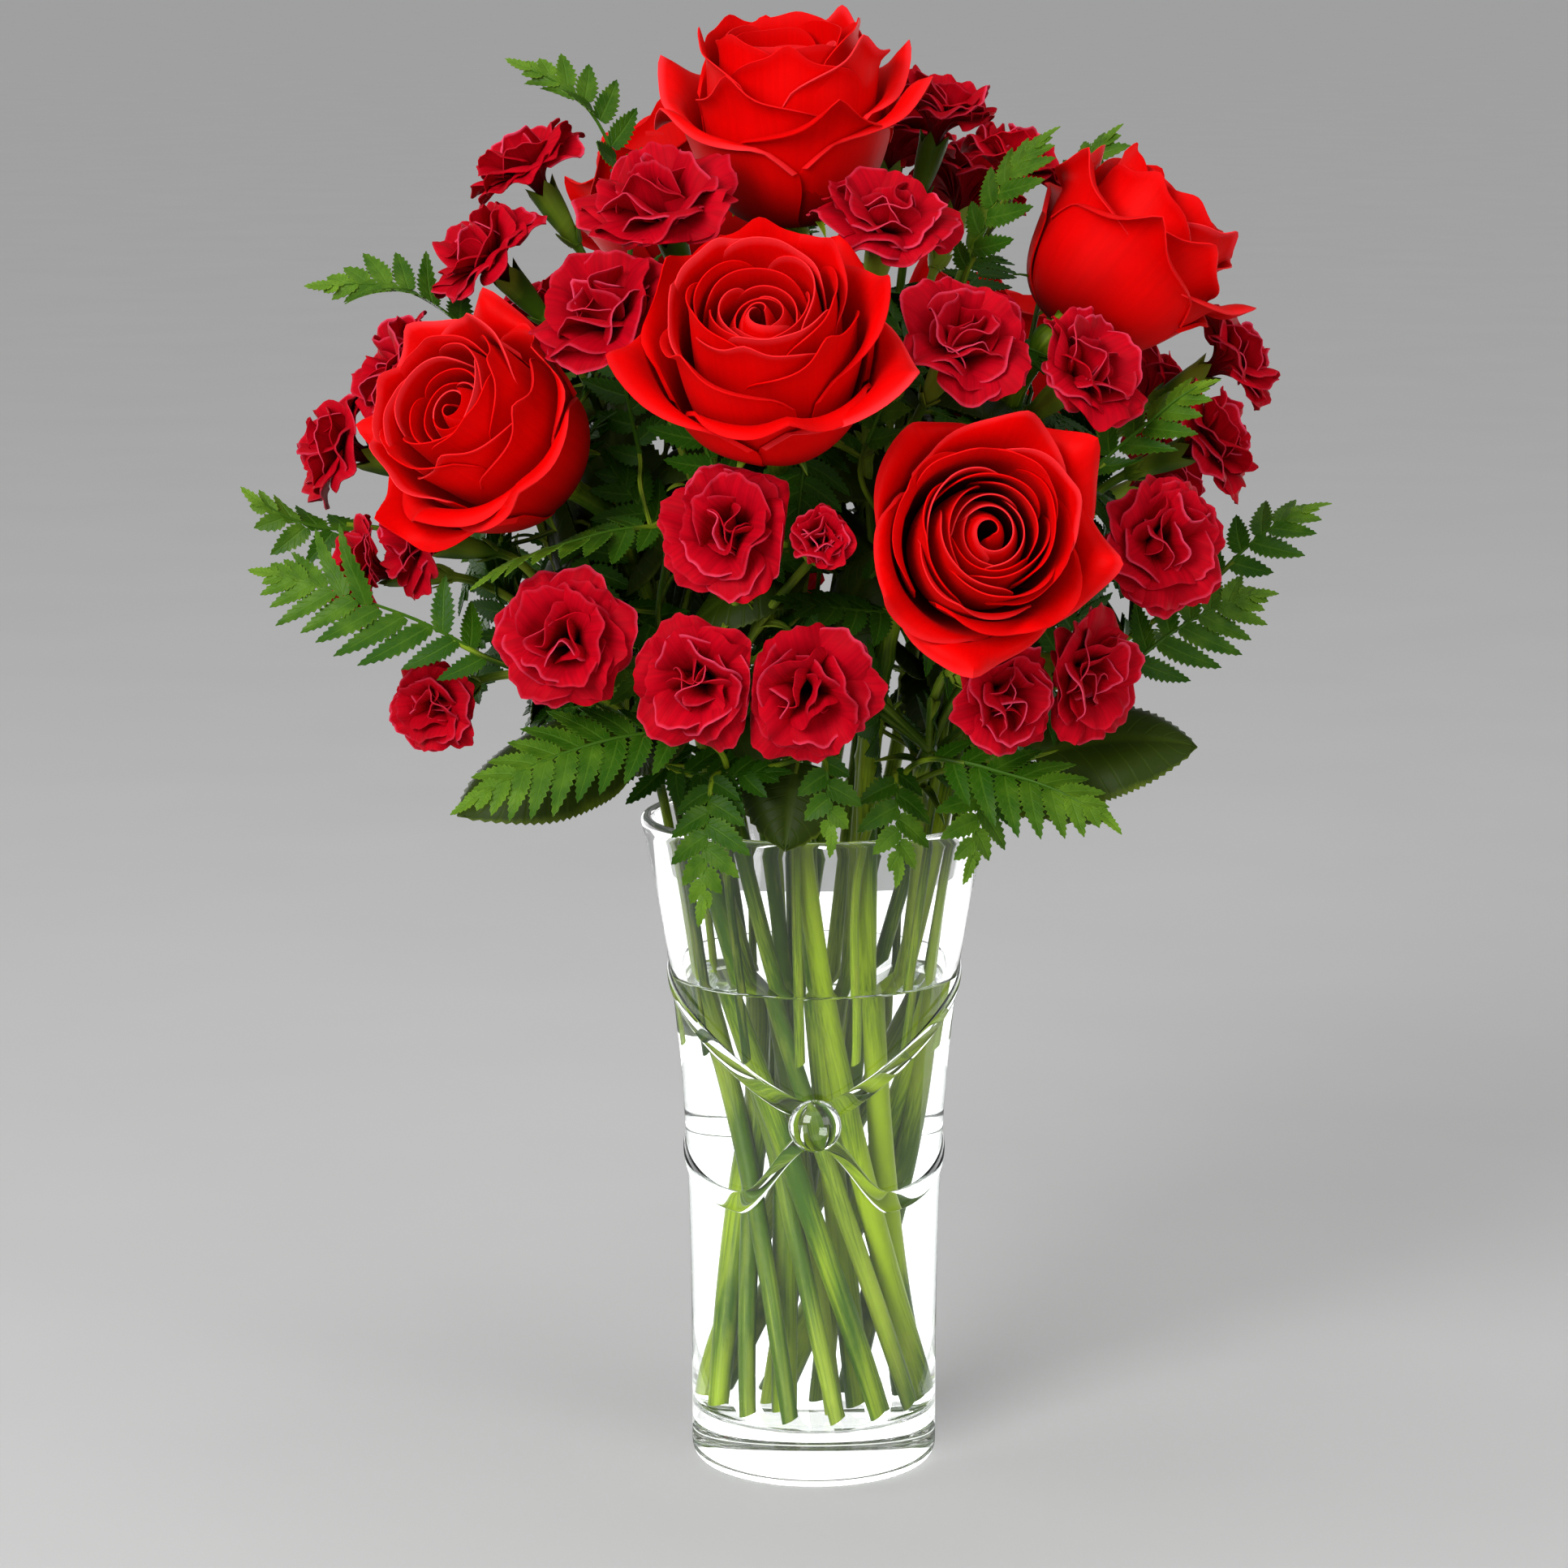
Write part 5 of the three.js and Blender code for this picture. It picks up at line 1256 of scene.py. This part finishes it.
TOP_REACH = 60.0  # metres, so that its edge is out of sight
LENS_PIXELS, FRAME_PIXELS, SENSOR = 6220, 1932, 36  # the photograph's focal length in its own pixels
CAMERA_PLACE = (-0.0104, -1.7, 0.525)
CAMERA_DIP = 9.587  # degrees below level
FRONT, GLASS = (0, 0, 0.3), (0, 0, 0.2)  # what the lamps aim at
LAMPS = [  # name, place, aim, width, height, power in watts, and whether it is behind the glass
    ("front_left", (-1.5, -2.5, 1.55), FRONT, 1.5, 1.5, 85, False),
    ("front_right", (2.0, -2.15, 1.1), FRONT, 1.5, 1.5, 22, False),
    ("left_panel", (-0.8, 0.9, 0.2), GLASS, 1.5, 0.5, 6, True),
    ("right_panel", (0.8, 0.9, 0.2), GLASS, 1.5, 0.5, 6, True),
    ("white_card", (0, 0.11, 0.09), (0, 0, 0.09), 0.6, 0.18, 0.43, True),
    ("white_sheet", (0, 0.076, 0.0006), (0, 0.076, 1), 0.08, 0.24, 0.05, True),
]
BOUNCES = 48  # of light in the glass and the water

corners = [(x * TOP_REACH, y * TOP_REACH, 0) for x, y in ((-1, -1), (1, -1), (1, 1), (-1, 1))]
top_mesh = bpy.data.meshes.new("table_top")
top_mesh.from_pydata(corners, [], [(0, 1, 2, 3)])
table_top = bpy.data.objects.new("table_top", top_mesh)
bpy.context.scene.collection.objects.link(table_top)
matte, shades, surface = new_material("pale_matte", {"Roughness": 0.7, "Specular IOR Level": 0})
mottle = shades.noise(shades.spot(), 6, detail=4)
shades.set(surface.inputs, {"Base Color": shades.mix(mottle, srgb(206, 206, 206), srgb(200, 200, 200))})
top_mesh.materials.append(matte)
table_top.visible_glossy = False

for name, place, aim, width, height, power, behind_glass in LAMPS:
    lamp = bpy.data.lights.new(name, "AREA")
    lamp.shape = "RECTANGLE"
    lamp.size, lamp.size_y, lamp.energy = width, height, power
    holder = bpy.data.objects.new(name, lamp)
    bpy.context.scene.collection.objects.link(holder)
    way = np.array(aim) - np.array(place)
    yaw = math.atan2(way[1], way[0]) - math.pi / 2
    holder.location = place
    holder.rotation_euler = (math.pi / 2 + math.atan2(way[2], math.hypot(way[0], way[1])), 0, yaw)
    holder.visible_camera = False
    holder.visible_diffuse = not behind_glass
    holder.visible_glossy = name != "white_card"

ceiling = bpy.data.lights.new("ceiling", "SUN")
ceiling.energy, ceiling.angle = 1.0, math.radians(80)
ceiling_holder = bpy.data.objects.new("ceiling", ceiling)
ceiling_holder.rotation_euler = (math.radians(12), math.radians(-10), 0)
bpy.context.scene.collection.objects.link(ceiling_holder)

world = bpy.data.worlds.new("room")
world.use_nodes = True
shades = Shades(world.node_tree)
upward = shades.node("SeparateXYZ", {0: shades.node("TexCoord").outputs["Generated"]}).outputs
sideways = shades.times(shades.maths("POWER", upward["X"], 2), 0.35)
bright = shades.ramp(shades.add(upward["Z"], sideways), -0.02, 0.06, 0.12, 0.28)
shades.set(world.node_tree.nodes["Background"].inputs, {"Color": (1, 1, 1, 1), "Strength": bright})
bpy.context.scene.world = world
bpy.context.scene.view_settings.view_transform = "Standard"
for kind in ("max_bounces", "glossy_bounces", "transmission_bounces", "transparent_max_bounces"):
    setattr(bpy.context.scene.cycles, kind, BOUNCES)

lens = bpy.data.cameras.new("camera")
lens.sensor_width = SENSOR
lens.lens = LENS_PIXELS / FRAME_PIXELS * SENSOR
camera = bpy.data.objects.new("camera", lens)
camera.location = CAMERA_PLACE
camera.rotation_euler = (math.radians(90 - CAMERA_DIP), 0, 0)
bpy.context.scene.collection.objects.link(camera)
bpy.context.scene.camera = camera
